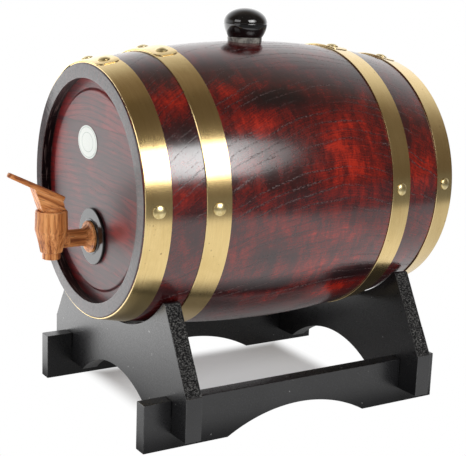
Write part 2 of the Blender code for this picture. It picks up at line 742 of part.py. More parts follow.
def lower_cradle_half():
    """Right half of the lower board's outline, from the arch's end round to the seam."""
    slot = GAP + RAIL_OUTER_X
    inner = RAIL_OUTER_X - RAIL_THICKNESS - GAP
    roof = LAP_Z + GAP / 2
    seam = CRADLE_SEAM_Z - GAP / 2
    return [
        (inner, CRADLE_BOTTOM_Z),
        (inner, roof),
        (slot, roof),
        (slot, CRADLE_BOTTOM_Z),
        (CRADLE_HALF_WIDTH, CRADLE_BOTTOM_Z),
        (CRADLE_HALF_WIDTH, CRADLE_CORNER_Z),
        (CRADLE_HALF_WIDTH - CRADLE_LEDGE, CRADLE_CORNER_Z),
        (slant_x(seam), seam),
    ]


def mirrored(points):
    return [(-x, z) for x, z in reversed(points)]


def lower_cradle_outline():
    right = lower_cradle_half()
    rise = CRADLE_ARCH_TOP_Z - CRADLE_BOTTOM_Z
    arch = arch_points(CRADLE_ARCH_HALF_SPAN, CRADLE_BOTTOM_Z, rise, ARCH_STEPS)
    return right + mirrored(right) + list(reversed(arch))


def upper_cradle_outline():
    """The board above the seam, with the round seat the barrel rests in."""
    seam = CRADLE_SEAM_Z + GAP / 2
    seat = outer_radius(CRADLE_OFFSET - BOARD / 2) + GAP
    reach = asin(sqrt(seat**2 - (AXIS_Z - EAR_Z) ** 2) / seat)
    turns = [reach * (1 - 2 * step / SEAT_STEPS) for step in range(SEAT_STEPS + 1)]
    arc = [(seat * sin(turn), AXIS_Z - seat * cos(turn)) for turn in turns]
    outline = [(slant_x(seam), seam), (EAR_OUTER_X, EAR_Z)]
    return outline + arc + [(-EAR_OUTER_X, EAR_Z), (-slant_x(seam), seam)]


def build_cradles(material, stand):
    outlines = (("upper", upper_cradle_outline()), ("lower", lower_cradle_outline()))
    for side, middle in (("front", -CRADLE_OFFSET), ("rear", CRADLE_OFFSET)):
        for level, outline in outlines:
            name = f"{side}_cradle_{level}_board"
            bm = extrude_outline(outline, BOARD, lambda x, z, w: (x, w, z))
            add_object(name, mesh_from(bm, name), material, (0, middle - BOARD / 2, 0), stand)


def build():
    clear_scene()
    oak = make_material("stained_oak", (0.16, 0.022, 0.02), 0.35)
    brass = make_material("brass", (0.72, 0.56, 0.28), 0.3, 1.0)
    fruitwood = make_material("tap_wood", (0.6, 0.25, 0.09), 0.45)
    gloss = make_material("gloss_black", (0.015, 0.015, 0.018), 0.1)
    rubber = make_material("plug_rubber", (0.35, 0.34, 0.31), 0.6)
    paper = make_material("label", (0.8, 0.8, 0.76), 0.5)
    black = make_material("black_wood", (0.03, 0.03, 0.033), 0.5)

    barrel = add_empty("barrel", (0, BARREL_Y, AXIS_Z))
    staves = build_staves(oak, barrel)
    cut_bung_hole(staves[0])
    front_boards = build_head("front", oak, barrel)
    build_head("rear", oak, barrel)
    cut_tap_hole(front_boards[1])
    build_hoops(brass, barrel, staves)
    build_label(paper, barrel)
    tap = build_tap(fruitwood, gloss, barrel)
    build_key(fruitwood, tap)
    build_bung(gloss, rubber)
    stand = add_empty("stand", (0, BARREL_Y, 0))
    build_rails(black, stand)
    build_cradles(black, stand)


build()
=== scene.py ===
from math import asin, atan, cos, pi, radians, sin, sqrt

import bmesh
import bpy
from mathutils import Matrix, Vector


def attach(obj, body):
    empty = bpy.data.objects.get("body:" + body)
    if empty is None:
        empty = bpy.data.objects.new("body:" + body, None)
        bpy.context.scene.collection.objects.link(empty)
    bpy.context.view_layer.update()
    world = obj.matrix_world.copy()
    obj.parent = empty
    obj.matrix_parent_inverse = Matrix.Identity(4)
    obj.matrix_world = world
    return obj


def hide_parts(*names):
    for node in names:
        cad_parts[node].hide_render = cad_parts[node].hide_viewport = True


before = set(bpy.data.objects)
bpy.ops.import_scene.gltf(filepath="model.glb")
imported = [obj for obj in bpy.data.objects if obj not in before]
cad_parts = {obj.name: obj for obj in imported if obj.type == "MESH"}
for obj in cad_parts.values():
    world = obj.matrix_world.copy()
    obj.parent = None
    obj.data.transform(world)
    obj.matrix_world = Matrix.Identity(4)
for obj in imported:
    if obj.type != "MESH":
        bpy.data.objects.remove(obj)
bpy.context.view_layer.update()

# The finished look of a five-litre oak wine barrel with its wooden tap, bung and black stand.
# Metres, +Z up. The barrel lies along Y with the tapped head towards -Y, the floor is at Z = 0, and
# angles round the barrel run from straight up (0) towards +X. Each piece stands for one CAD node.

MM = 0.001
HAIR = 0.04 * MM  # gap at a glued or lacquered joint
CUT_PAST = 1 * MM  # how far a cutter runs past what it cuts

# Barrel
BARREL_LENGTH = 256 * MM
HALF_LENGTH = BARREL_LENGTH / 2
BULGE_RADIUS = 102.2 * MM
END_RADIUS = 87.5 * MM
STAVE_THICKNESS = 10.1 * MM
STAVE_COUNT = 18
STAVE_ANGLE = 2 * pi / STAVE_COUNT
AXIS_Z = 161.6 * MM
JOINT_GROOVE = 0.008 * MM
JOINT_GROOVE_WIDTH = 0.22 * MM

# Heads
HEAD_FACE_DEPTH = 6.7 * MM
HEAD_STEP = 1.5 * MM
HEAD_RAISED_RADIUS = 69.5 * MM
HEAD_RIM_RADIUS = 82.4 * MM
HEAD_RIM_THICKNESS = 4 * MM
HEAD_THICKNESS = 10 * MM
HEAD_SHOULDER_RADIUS = 79.4 * MM
HEAD_INNER_RADIUS = 76 * MM
HEAD_JOINTS = (-52 * MM, 4 * MM, 45 * MM)
CROZE_RADIUS = 82.7 * MM

# Hoops
HOOP_WIDTH = 17.5 * MM
HOOP_INSET = 0.8 * MM
HOOP_THICKNESS = 0.7 * MM
HOOP_GAP = 0.15 * MM
LAP_RISE = HOOP_THICKNESS + 0.1 * MM
HOOP_EDGE = 0.32 * MM
LAP_END_THINNING = 0.6
LAP_RAMP = radians(14)
LAP_BEFORE = radians(6)
LAP_AFTER = radians(6)
LAP_CORNER = 5.5 * MM
# name, front edge from the barrel's front end, angle between the lap rivets, second lap rivet, side nails
HOOPS = (
    ("front_end_hoop", HOOP_INSET, radians(17), radians(4.5), radians(88.5)),
    ("front_quarter_hoop", 41 * MM, radians(17), radians(8), radians(88.5)),
    ("rear_quarter_hoop", BARREL_LENGTH - 65.5 * MM, radians(26), radians(4), radians(86.8)),
    ("rear_end_hoop", BARREL_LENGTH - HOOP_WIDTH - HOOP_INSET, radians(26), radians(4.5), radians(86.8)),
)
RIVET_RADIUS = 4.3 * MM
RIVET_HEIGHT = 1.6 * MM
RIVET_SHANK_RADIUS = 1.1 * MM
RIVET_LENGTH = 6 * MM

# Tap
TAP_STANDOFF = 24.9 * MM
LEVER_REACH = 31.6 * MM
TAP_Z = AXIS_Z - 32.3 * MM
TAP_TOP_Z = 150.3 * MM
TAP_WAIST_Z = 137 * MM
TAP_BOTTOM_Z = 121.3 * MM
TAP_TOP_RADIUS = 11 * MM
TAP_WAIST_RADIUS = 11.3 * MM
TAP_BOTTOM_RADIUS = 7.9 * MM
TAP_FACETS = 8
SHANK_RADIUS = 6.05 * MM
SHANK_INNER_RADIUS = 5.4 * MM
SHANK_BORE_RADIUS = 2.6 * MM
SHANK_INNER_DEPTH = 26 * MM
FLANGE_RADIUS = 11.2 * MM
FLANGE_DEPTHS = (2.0 * MM, 3.7 * MM)
HEAD_BORE_RADIUS = 6.4 * MM
WASHER_RADIUS = 19.9 * MM
WASHER_HUB_RADIUS = 12.4 * MM
WASHER_BACK_DEPTH = HEAD_FACE_DEPTH - 0.1 * MM
WASHER_FACE_DEPTH = 4.5 * MM
WASHER_HUB_DEPTH = 4.0 * MM

# Key
KEY_TOP_RADIUS = 7.9 * MM
KEY_BOTTOM_RADIUS = 6.2 * MM
KEY_BOTTOM_Z = 116.4 * MM
KEY_BORE_RADIUS = 2.8 * MM
KEY_GAP = 0.15 * MM
WEB_HALF_WIDTH = 5.2 * MM
PADDLE_SLOPE = atan(0.475)
PADDLE_THICKNESS = 4.2 * MM
PADDLE_TIP_THICKNESS = 3.4 * MM
PADDLE_REAR = 8.4 * MM
PADDLE_REAR_Z = 159.8 * MM
PADDLE_REAR_HALF_WIDTH = 5.5 * MM
PADDLE_TIP_HALF_WIDTH = 6 * MM

# Bung
BUNG_OFFSET = -3 * MM
KNOB_RADIUS = 15.9 * MM
KNOB_SEAM_Z = 277 * MM
KNOB_DOME_HEIGHT = 10.4 * MM
KNOB_BASE_Z = 267 * MM
KNOB_LOWER_HEIGHT = 16.4 * MM
PLUG_TOP_RADIUS = 12.5 * MM
PLUG_BOTTOM_RADIUS = 11 * MM
PLUG_BOTTOM_Z = 242 * MM
SPIGOT_RADIUS = 6 * MM
SPIGOT_HEIGHT = 8 * MM
BUNG_GAP = 0.1 * MM

# Label
LABEL_WIDTH = 31 * MM
LABEL_HEIGHT = 23.2 * MM
LABEL_X = -10.9 * MM
LABEL_Z = AXIS_Z + 32.3 * MM

# Stand
BOARD = 12 * MM
RAIL_THICKNESS = 11 * MM
RAIL_OUTER_X = 86 * MM
RAIL_LENGTH = 248 * MM
RAIL_HEIGHT = 34 * MM
RAIL_ARCH_HALF_SPAN = 58.5 * MM
RAIL_ARCH_HEIGHT = 15.7 * MM
CRADLE_OFFSET = 97.5 * MM
CRADLE_HALF_WIDTH = 105.5 * MM
CRADLE_LEDGE = 0.6 * MM
CRADLE_BOTTOM_Z = 11 * MM
CRADLE_CORNER_Z = 41.5 * MM
CRADLE_SEAM_Z = 60 * MM
EAR_OUTER_X = 73 * MM
EAR_Z = 97.5 * MM
CRADLE_ARCH_HALF_SPAN = 55 * MM
CRADLE_ARCH_TOP_Z = 31.8 * MM
LAP_Z = (CRADLE_BOTTOM_Z + RAIL_HEIGHT) / 2
STAND_GAP = 0.15 * MM
SEAT_GAP = 0.3 * MM
BOARD_EDGE = 0.6 * MM

BARREL_Y = (TAP_STANDOFF + LEVER_REACH) / 2
FRONT_Y = BARREL_Y - HALF_LENGTH
TAP_Y = FRONT_Y - TAP_STANDOFF
BUNG_Y = BARREL_Y + BUNG_OFFSET
SHANK_START = {"y": FRONT_Y, "z": TAP_Z}
SMOOTH_ANGLE = radians(35)


# ---- shader helpers


def operator(operation, swapped=False):
    """A method that combines a signal with another signal or a number."""
    if swapped:
        return lambda signal, other: signal.graph.math(operation, other, signal)
    return lambda signal, other: signal.graph.math(operation, signal, other)


class Signal:
    """A shader output that can be added, subtracted, multiplied and divided."""

    def __init__(self, graph, socket):
        self.graph = graph
        self.socket = socket

    __add__ = operator("ADD")
    __sub__ = operator("SUBTRACT")
    __mul__ = operator("MULTIPLY")
    __truediv__ = operator("DIVIDE")
    __radd__ = operator("ADD", swapped=True)
    __rsub__ = operator("SUBTRACT", swapped=True)
    __rmul__ = operator("MULTIPLY", swapped=True)


class Graph:
    """The nodes of one material, or of another owner such as a world, under construction."""

    def __init__(self, name, owner=None):
        self.owner = owner or bpy.data.materials.new(name)
        self.owner.use_nodes = True
        self.tree = self.owner.node_tree
        self.tree.nodes.clear()

    def node(self, kind, inputs, **settings):
        node = self.tree.nodes.new(kind)
        for key, value in settings.items():
            setattr(node, key, value)
        for key, value in inputs.items():
            if isinstance(value, Signal):
                self.tree.links.new(value.socket, node.inputs[key])
            elif isinstance(value, tuple) and len(value) == 3 and node.inputs[key].type == "RGBA":
                node.inputs[key].default_value = (*value, 1.0)
            else:
                node.inputs[key].default_value = value
        return node

    def signal(self, node, output=0):
        return Signal(self, node.outputs[output])

    def math(self, operation, a, b=0.0):
        return self.signal(self.node("ShaderNodeMath", {0: a, 1: b}, operation=operation))

    def absolute(self, value):
        return self.math("ABSOLUTE", value)

    def distance(self, a, b):
        """How far (a, b) is from (0, 0)."""
        return self.math("SQRT", a * a + b * b)

    def position(self):
        return self.signal(self.node("ShaderNodeTexCoord", {}), "Object")

    def normal(self):
        return self.signal(self.node("ShaderNodeNewGeometry", {}), "Normal")

    def place(self):
        """The x, y and z of the shaded point."""
        return self.split(self.position())

    def split(self, vector):
        node = self.node("ShaderNodeSeparateXYZ", {0: vector})
        return self.signal(node, 0), self.signal(node, 1), self.signal(node, 2)

    def vector(self, x=0.0, y=0.0, z=0.0):
        return self.signal(self.node("ShaderNodeCombineXYZ", {0: x, 1: y, 2: z}))

    def noise(self, vector, scale, detail, roughness, distortion=0.0):
        inputs = {"Vector": vector, "Scale": scale, "Detail": detail}
        inputs.update({"Roughness": roughness, "Distortion": distortion})
        return self.signal(self.node("ShaderNodeTexNoise", inputs))

    def cloud(self, x, y, z, detail=2, roughness=0.5, distortion=0.0):
        """Noise over three signals, each already scaled to its own features per metre."""
        return self.noise(self.vector(x, y, z), 1, detail, roughness, distortion)

    def random(self, value):
        node = self.node("ShaderNodeTexWhiteNoise", {"W": value}, noise_dimensions="1D")
        return self.signal(node, "Value")

    def remap(self, value, low, high, to_low=0.0, to_high=1.0):
        """Smooth step from to_low at low to to_high at high."""
        inputs = {"Value": value, "From Min": low, "From Max": high, "To Min": to_low, "To Max": to_high}
        return self.signal(self.node("ShaderNodeMapRange", inputs, interpolation_type="SMOOTHSTEP"))

    def mix(self, factor, a, b):
        node = self.node("ShaderNodeMix", {0: factor, 6: a, 7: b}, data_type="RGBA")
        return self.signal(node, 2)

    def lerp(self, factor, a, b):
        return self.signal(self.node("ShaderNodeMix", {0: factor, 2: a, 3: b}))

    def ramp(self, factor, stops):
        node = self.node("ShaderNodeValToRGB", {0: factor})
        elements = node.color_ramp.elements
        while len(elements) < len(stops):
            elements.new(0.5)
        for element, (place, colour) in zip(elements, stops):
            element.position = place
            element.color = (*colour, 1.0)
        return self.signal(node)

    def bump(self, height, distance, strength=1.0):
        inputs = {"Height": height, "Distance": distance, "Strength": strength}
        return self.signal(self.node("ShaderNodeBump", inputs))

    def edge_wear_and_highlight(self, width):
        """1 on convex edges narrower than width, 0 elsewhere."""
        rounded = self.node("ShaderNodeBevel", {"Radius": width}, samples=4)
        dot = self.node("ShaderNodeVectorMath", {0: self.signal(rounded), 1: self.normal()})
        dot.operation = "DOT_PRODUCT"
        return self.remap(self.signal(dot, "Value"), 0.995, 0.9)

    def finish(self, **inputs):
        names = {key.replace("_", " ").title().replace("Ior", "IOR"): value for key, value in inputs.items()}
        shader = self.node("ShaderNodeBsdfPrincipled", names)
        self.node("ShaderNodeOutputMaterial", {"Surface": self.signal(shader)})
        return self.owner


# ---- materials

SCORCHED = (0.009, 0.004, 0.005)
MAROON = (0.045, 0.005, 0.006)
CRIMSON = (0.16, 0.007, 0.005)
FLAME = (0.42, 0.018, 0.006)
WINE = (0.050, 0.008, 0.012)
RUBY = (0.22, 0.012, 0.012)
PORE_DUST = (0.19, 0.13, 0.13)
INSIDE_DARK = (0.006, 0.005, 0.006)

# Where the stain came out redder (above 0) or scorched (below 0): degrees from the top, mm from the
# middle, half sizes in degrees and mm, strength
STAIN = (
    (42, -98, 7, 18, 0.45),
    (58, -98, 9, 18, -0.35),
    (84, -98, 9, 16, 0.25),
    (41, -50, 6, 24, 0.40),
    (46, -20, 5, 26, -0.60),
    (57, -46, 7, 28, 0.50),
    (70, 25, 20, 42, 0.38),
    (66, 12, 6, 12, 0.22),
    (60, 34, 5, 16, 0.18),
    (77, 40, 5, 20, 0.15),
    (80, -28, 9, 22, -0.25),
    (80, 94, 12, 20, 0.40),
    (104, 0, 16, 125, 0.24),
    (97, 20, 4, 30, -0.20),
    (108, -30, 5, 24, -0.22),
    (117, 20, 5, 44, 0.35),
    (124, -36, 5, 32, -0.50),
    (123, 40, 6, 26, -0.50),
    (132, 30, 7, 34, 0.45),
)


def stain_patches(g, angle, along, ragged):
    """Sum of the stain patches, with ragged edges."""
    total = 0.0
    for degrees, middle, half_angle, half_length, strength in STAIN:
        across = (angle - radians(degrees)) * (1 / radians(half_angle))
        length = (along - middle * MM) * (1 / (half_length * MM))
        distance = g.distance(across, length) + ragged
        total = g.remap(distance, 1.35, 0.25, 0.0, strength) + total
    return total


def pore_dashes(g, across, along, seed, low=0.56, high=0.63):
    """Short open pores drawn out along the grain."""
    return g.remap(g.cloud(across * 1900, along * 520, seed * 31, 1.5), low, high)


def oak_side():
    """Red-stained and lacquered oak on the outside of the staves."""
    g = Graph("stained_oak")
    x, y, z = g.place()
    angle = g.math("ARCTAN2", x, z - AXIS_Z)
    along = y - BARREL_Y
    stave = g.math("ROUND", angle * (1 / STAVE_ANGLE))
    around = angle * BULGE_RADIUS
    first = g.random(stave + 3.7)
    second = g.random(stave + 41.2)

    # flat-sawn figure: growth rings cut at a slant make arches that peak towards the barrel's top
    centre = along - (first * 0.016 + 0.012)
    wobble = g.cloud(around * 34, along * 18, stave * 0.4) * 0.010
    ring = around - centre * centre * (second * 0.7 + 3.0) + wobble
    uneven = g.cloud(ring * 70, 0.0, 8.2, 1, 0.5) * 0.012
    phase = g.math("FRACT", (ring + uneven) * 150)
    early = g.remap(phase, 0.0, 0.07) * g.remap(phase, 0.30, 0.14)
    patchy = g.remap(g.cloud(ring * 90, along * 14, 2.6), 0.40, 0.58)
    pores = pore_dashes(g, ring, along, stave, 0.50, 0.58) * early * patchy
    scattered = pore_dashes(g, ring + 0.3, along * 1.3, stave, 0.66, 0.74) * 0.5
    pores = g.math("MAXIMUM", pores, scattered)

    blotch = g.cloud(around * 26, along * 20, 3.1, 3, 0.55, 0.4)
    ragged = (blotch - 0.5) * 1.6
    mottle = g.cloud(around * 60, along * 150, 0.6, 3, 0.6, 0.3)
    fibre = g.cloud(ring * 1100, along * 60, stave, 3, 0.65)
    speckle = g.cloud(around * 900, along * 700, 5.0, 2, 0.6)
    heat = (blotch - 0.5) * 1.15 + 0.37 + stain_patches(g, angle, along, ragged) * 0.8
    heat = heat + (mottle - 0.5) * 1.0 + (fibre - 0.5) * 0.75 + (speckle - 0.5) * 0.6 - early * patchy * 0.18
    colour = g.ramp(heat, ((0.0, SCORCHED), (0.32, MAROON), (0.68, CRIMSON), (1.0, FLAME)))
    colour = g.mix(g.remap(mottle * 0.55 + fibre * 0.45, 0.54, 0.42, 0.0, 0.3), colour, MAROON)
    colour = g.mix(pores * g.remap(heat, 0.75, 0.25, 0.4, 0.6), colour, PORE_DUST)
    open_pore = pores * g.remap(fibre, 0.3, 0.7, 0.6, 1.0)
    height = open_pore * -1.0 + fibre * 0.22 + speckle * 0.30
    normal = g.bump(height, 0.10 * MM, 0.6)
    return g.finish(
        base_color=colour,
        roughness=0.5,
        specular_ior_level=0.0,
        normal=normal,
        coat_weight=1.0 - pores * 0.75,
        coat_ior=1.80,
        coat_roughness=g.lerp(mottle, 0.13, 0.23),
        coat_normal=g.bump(height, 0.07 * MM, 0.42),
    )


def oak_chime():
    """End grain on the stave ends: scorched nearly black and finely scratched, dull on the left side, where
    its sheen is taken off as painted shade.
    """
    g = Graph("oak_end_grain")
    x, y, z = g.place()
    height = z - AXIS_Z
    angle = g.math("ARCTAN2", x, height)
    radius = g.distance(x, height)
    stave = g.math("ROUND", angle * (1 / STAVE_ANGLE))
    rays = g.cloud(angle * 60, radius * 90, stave * 3, 2, 0.6)
    rings = g.cloud(angle * 14, radius * 1500, stave, 2, 0.5, 0.4)
    specks = g.cloud(x * 900, y * 900, z * 900, 2, 0.6)
    scratches = g.remap(g.cloud(angle * 200, radius * 70, 1, 1, 0.5), 0.70, 0.76)
    depth = HALF_LENGTH - g.absolute(y - BARREL_Y)
    inside = g.remap(depth, 0.8 * MM, 1.2 * MM) * g.remap(radius, END_RADIUS - 4 * MM, END_RADIUS - 6 * MM)
    turned = g.remap(g.cloud(angle * 4, y * 900, 7.0, 2, 0.6), 0.57, 0.63) * inside
    from_joint = (STAVE_ANGLE / 2 - g.absolute(angle - stave * STAVE_ANGLE)) * END_RADIUS
    wear_and_highlight = g.edge_wear_and_highlight(0.9 * MM) * g.remap(from_joint, 0.6 * MM, 1.4 * MM)
    colour = g.mix(g.remap(rays + rings * 0.6, 0.6, 1.15), (0.008, 0.006, 0.008), (0.045, 0.012, 0.014))
    # Darker on the wall inside the chime, towards the head.
    colour = g.mix(inside * 0.75, colour, INSIDE_DARK)
    colour = g.mix(scratches * 0.35 + turned * 0.8 + wear_and_highlight * 0.5, colour, (0.20, 0.15, 0.14))
    relief = rings * 0.6 + specks * 0.6 - scratches * 0.5
    # Painted shade: the sheen and coat fade out on the left of the chime.
    sheen_outside_left_shade = 1 - g.remap(x + (rays - 0.5) * 0.02, -0.55 * END_RADIUS, -0.82 * END_RADIUS)
    return g.finish(
        base_color=colour,
        roughness=g.remap(specks, 0.3, 0.7, 0.34, 0.5),
        specular_ior_level=sheen_outside_left_shade * 0.45 + 0.05,
        normal=g.bump(relief, 0.12 * MM, 0.5),
        coat_weight=sheen_outside_left_shade * 0.3,
        coat_roughness=0.25,
    )


def oak_head(name):
    """Red-stained oak boards of a head, grain running from side to side."""
    g = Graph(name)
    x, y, z = g.place()
    height = z - AXIS_Z
    steps = [g.math("GREATER_THAN", height, joint) for joint in HEAD_JOINTS]
    board = steps[0] + steps[1] + steps[2]
    first = g.random(board + 11.3)
    wobble = g.cloud(x * 14, height * 40, board * 5) * 0.010
    ring = height + x * x * (first * 1.6 + 0.4) + wobble + first * 0.07
    phase = g.math("FRACT", ring * 190 + g.cloud(ring * 60, 0.0, 1.7, 1, 0.5) * 3)
    early = g.remap(phase, 0.0, 0.1) * g.remap(phase, 0.5, 0.2)
    blotch = g.cloud(x * 22, board * 3, height * 34, 3, 0.55, 0.4)
    pores = pore_dashes(g, ring, x, board) * early * g.remap(blotch, 0.40, 0.60) * 0.85
    fibre = g.cloud(x * 45, ring * 1300, board, 2, 0.6)
    # A redder patch on the lower right is painted where the head shows no grey sheen.
    unsheened_x = (x - 42 * MM) * (1 / (15 * MM))
    unsheened_z = (height + 20 * MM) * (1 / (9 * MM))
    spot = g.remap(g.distance(unsheened_x, unsheened_z) + (blotch - 0.5) * 1.5, 1.5, 0.1)
    edge_x = (x - 10 * MM) * (1 / (75 * MM))
    edge_z = height * (1 / (75 * MM))
    rim = g.remap(g.distance(edge_x, edge_z), 0.72, 1.0)
    heat = (blotch - 0.5) * 0.9 + 0.46 + spot * 0.50 + rim * 0.10
    heat = heat + (fibre - 0.5) * 0.65 - early * 0.12
    colour = g.ramp(heat, ((0.0, SCORCHED), (0.4, WINE), (0.75, RUBY), (1.0, CRIMSON)))
    relief = pores * -1.0 + fibre * 0.15
    return g.finish(
        base_color=colour,
        roughness=0.5,
        specular_ior_level=0.25,
        normal=g.bump(relief, 0.10 * MM, 0.5),
        coat_weight=0.40 - pores * 0.3,
        coat_roughness=g.lerp(fibre, 0.26, 0.36),
        coat_normal=g.bump(relief, 0.06 * MM, 0.3),
    )


def brushed_brass():
    """Brass strap, brushed round the hoop, with a darker film and brighter edges painted as a highlight."""
    g = Graph("brushed_brass")
    x, y, z = g.place()
    angle = g.math("ARCTAN2", x, z - AXIS_Z)
    lines = g.cloud(angle * 2.2, y * 6500, 0, 3, 0.65)
    broad = g.cloud(angle * 5, y * 700, 4)
    film = g.cloud(x * 45, y * 45, z * 45, 3, 0.6)
    specks = g.remap(g.cloud(x * 420, y * 420, z * 420, 1, 0.5), 0.74, 0.79)
    wear_and_highlight = g.edge_wear_and_highlight(0.4 * MM)
    colour = g.mix(g.remap(lines * 0.6 + broad * 0.4, 0.3, 0.7), (0.74, 0.54, 0.24), (0.82, 0.63, 0.30))
    colour = g.mix(g.remap(film, 0.45, 0.75, 0.0, 0.35), colour, (0.62, 0.44, 0.17))
    colour = g.mix(specks * 0.6, colour, (0.16, 0.10, 0.04))
    # Painted highlight: the convex edges are lightened towards pale gold.
    colour = g.mix(wear_and_highlight * 0.5, colour, (0.90, 0.82, 0.60))
    return g.finish(
        base_color=colour,
        metallic=1.0,
        roughness=g.remap(lines, 0.3, 0.7, 0.20, 0.27),
        anisotropic=0.4,
        tangent=g.vector(0.0, 1.0, 0.0),
        normal=g.bump(lines, 0.010 * MM, 0.12),
    )


def polished_brass():
    """Rivet heads: smoother and paler than the strap, with small dents."""
    g = Graph("rivet_brass")
    place = g.position()
    film = g.noise(place, 260, 3, 0.6)
    dents = g.noise(place, 700, 1, 0.5)
    colour = g.mix(g.remap(film, 0.4, 0.7), (0.80, 0.67, 0.36), (0.60, 0.46, 0.20))
    colour = g.mix(g.edge_wear_and_highlight(0.4 * MM) * 0.6, colour, (0.92, 0.84, 0.62))
    return g.finish(
        base_color=colour,
        metallic=1.0,
        roughness=g.remap(film, 0.3, 0.7, 0.27, 0.38),
        normal=g.bump(dents, 0.05 * MM, 0.3),
    )


def tap_wood(name, grain):
    """Orange-brown oiled wood with dark streaks; grain turns a position into (across, other, along)."""
    g = Graph(name)
    across, other, along = grain(g, *g.place())
    warp = g.cloud(across * 60, other * 60, along * 30) * 0.003
    ring = across + warp
    streak = g.cloud(ring * 420, other * 260, along * 16, 2, 0.55)
    fine = g.cloud(ring * 2200, other * 1500, along * 70, 2, 0.6)
    pores = g.remap(g.cloud(ring * 1700, other * 1700, along * 150, 1, 0.5), 0.62, 0.70)
    wear_and_highlight = g.edge_wear_and_highlight(0.6 * MM)
    tone = streak * 0.75 + fine * 0.30
    stops = ((0.38, (0.22, 0.060, 0.018)), (0.50, (0.56, 0.20, 0.058)), (0.66, (0.84, 0.39, 0.145)))
    colour = g.ramp(tone, stops)
    colour = g.mix(pores * 0.55, colour, (0.07, 0.018, 0.008))
    # Pale edges: partly rubbed wood, partly a painted highlight along the corners.
    colour = g.mix(wear_and_highlight * 0.5, colour, (0.95, 0.62, 0.36))
    relief = pores * -1.0 + fine * 0.3
    return g.finish(
        base_color=colour,
        roughness=g.lerp(fine, 0.40, 0.56),
        specular_ior_level=0.22,
        normal=g.bump(relief, 0.08 * MM, 0.5),
        coat_weight=0.08,
        coat_roughness=0.2,
    )


def gloss_black(name, roughness, coat):
    """Polished black of the knob and the washer: faint swirls and a little dust."""
    g = Graph(name)
    place = g.position()
    swirl = g.noise(place, 120, 3, 0.6, 0.8)
    dust = g.remap(g.noise(place, 1500, 1, 0.5), 0.72, 0.78)
    wear_and_highlight = g.edge_wear_and_highlight(0.35 * MM)
    colour = g.mix(g.remap(swirl, 0.4, 0.65), (0.0045, 0.0045, 0.005), (0.010, 0.010, 0.011))
    colour = g.mix(dust * 0.25 + wear_and_highlight * 0.12, colour, (0.45, 0.45, 0.45))
    return g.finish(
        base_color=colour,
        roughness=g.remap(swirl, 0.3, 0.7, roughness, roughness * 1.8),
        normal=g.bump(swirl, 0.04 * MM, 0.15),
        coat_weight=coat,
        coat_roughness=0.03,
    )


def plug_rubber():
    """Grey, slightly translucent stopper, mottled with dust."""
    g = Graph("plug_silicone")
    place = g.position()
    cloud = g.noise(place, 220, 4, 0.65)
    fine = g.noise(place, 1800, 2, 0.6)
    colour = g.mix(g.remap(cloud, 0.35, 0.65), (0.05, 0.045, 0.04), (0.36, 0.35, 0.32))
    colour = g.mix(g.edge_wear_and_highlight(0.5 * MM) * 0.5, colour, (0.62, 0.61, 0.58))
    return g.finish(
        base_color=colour,
        roughness=g.remap(fine, 0.3, 0.7, 0.4, 0.6),
        subsurface_weight=0.25,
        subsurface_radius=(0.002, 0.002, 0.002),
        normal=g.bump(fine + cloud, 0.08 * MM, 0.4),
    )


def label_paper():
    """White oval sticker with plain pale rings."""
    g = Graph("label_paper")
    x, y, z = g.place()
    u = (x - LABEL_X) * (2 / LABEL_WIDTH)
    v = (z - LABEL_Z) * (2 / LABEL_HEIGHT)
    reach = g.distance(u, v)
    fibre = g.cloud(x * 2500, y * 2500, z * 2500, 2, 0.6)
    colour = g.mix(g.remap(fibre, 0.35, 0.65), (0.60, 0.64, 0.60), (0.66, 0.70, 0.66))
    rings = 0.0
    for place, width in ((0.90, 0.018), (0.58, 0.014)):
        offset = g.absolute(reach - place)
        rings = g.remap(offset, width * 1.6, width * 0.6) + rings
    colour = g.mix(rings * 0.85, colour, (0.26, 0.34, 0.30))
    colour = g.mix(g.remap(reach, 0.95, 1.0) * 0.35, colour, (0.55, 0.56, 0.55))
    relief = fibre * 0.4 - rings * 0.6
    return g.finish(base_color=colour, roughness=0.42, normal=g.bump(relief, 0.03 * MM, 0.4), coat_weight=0.3)


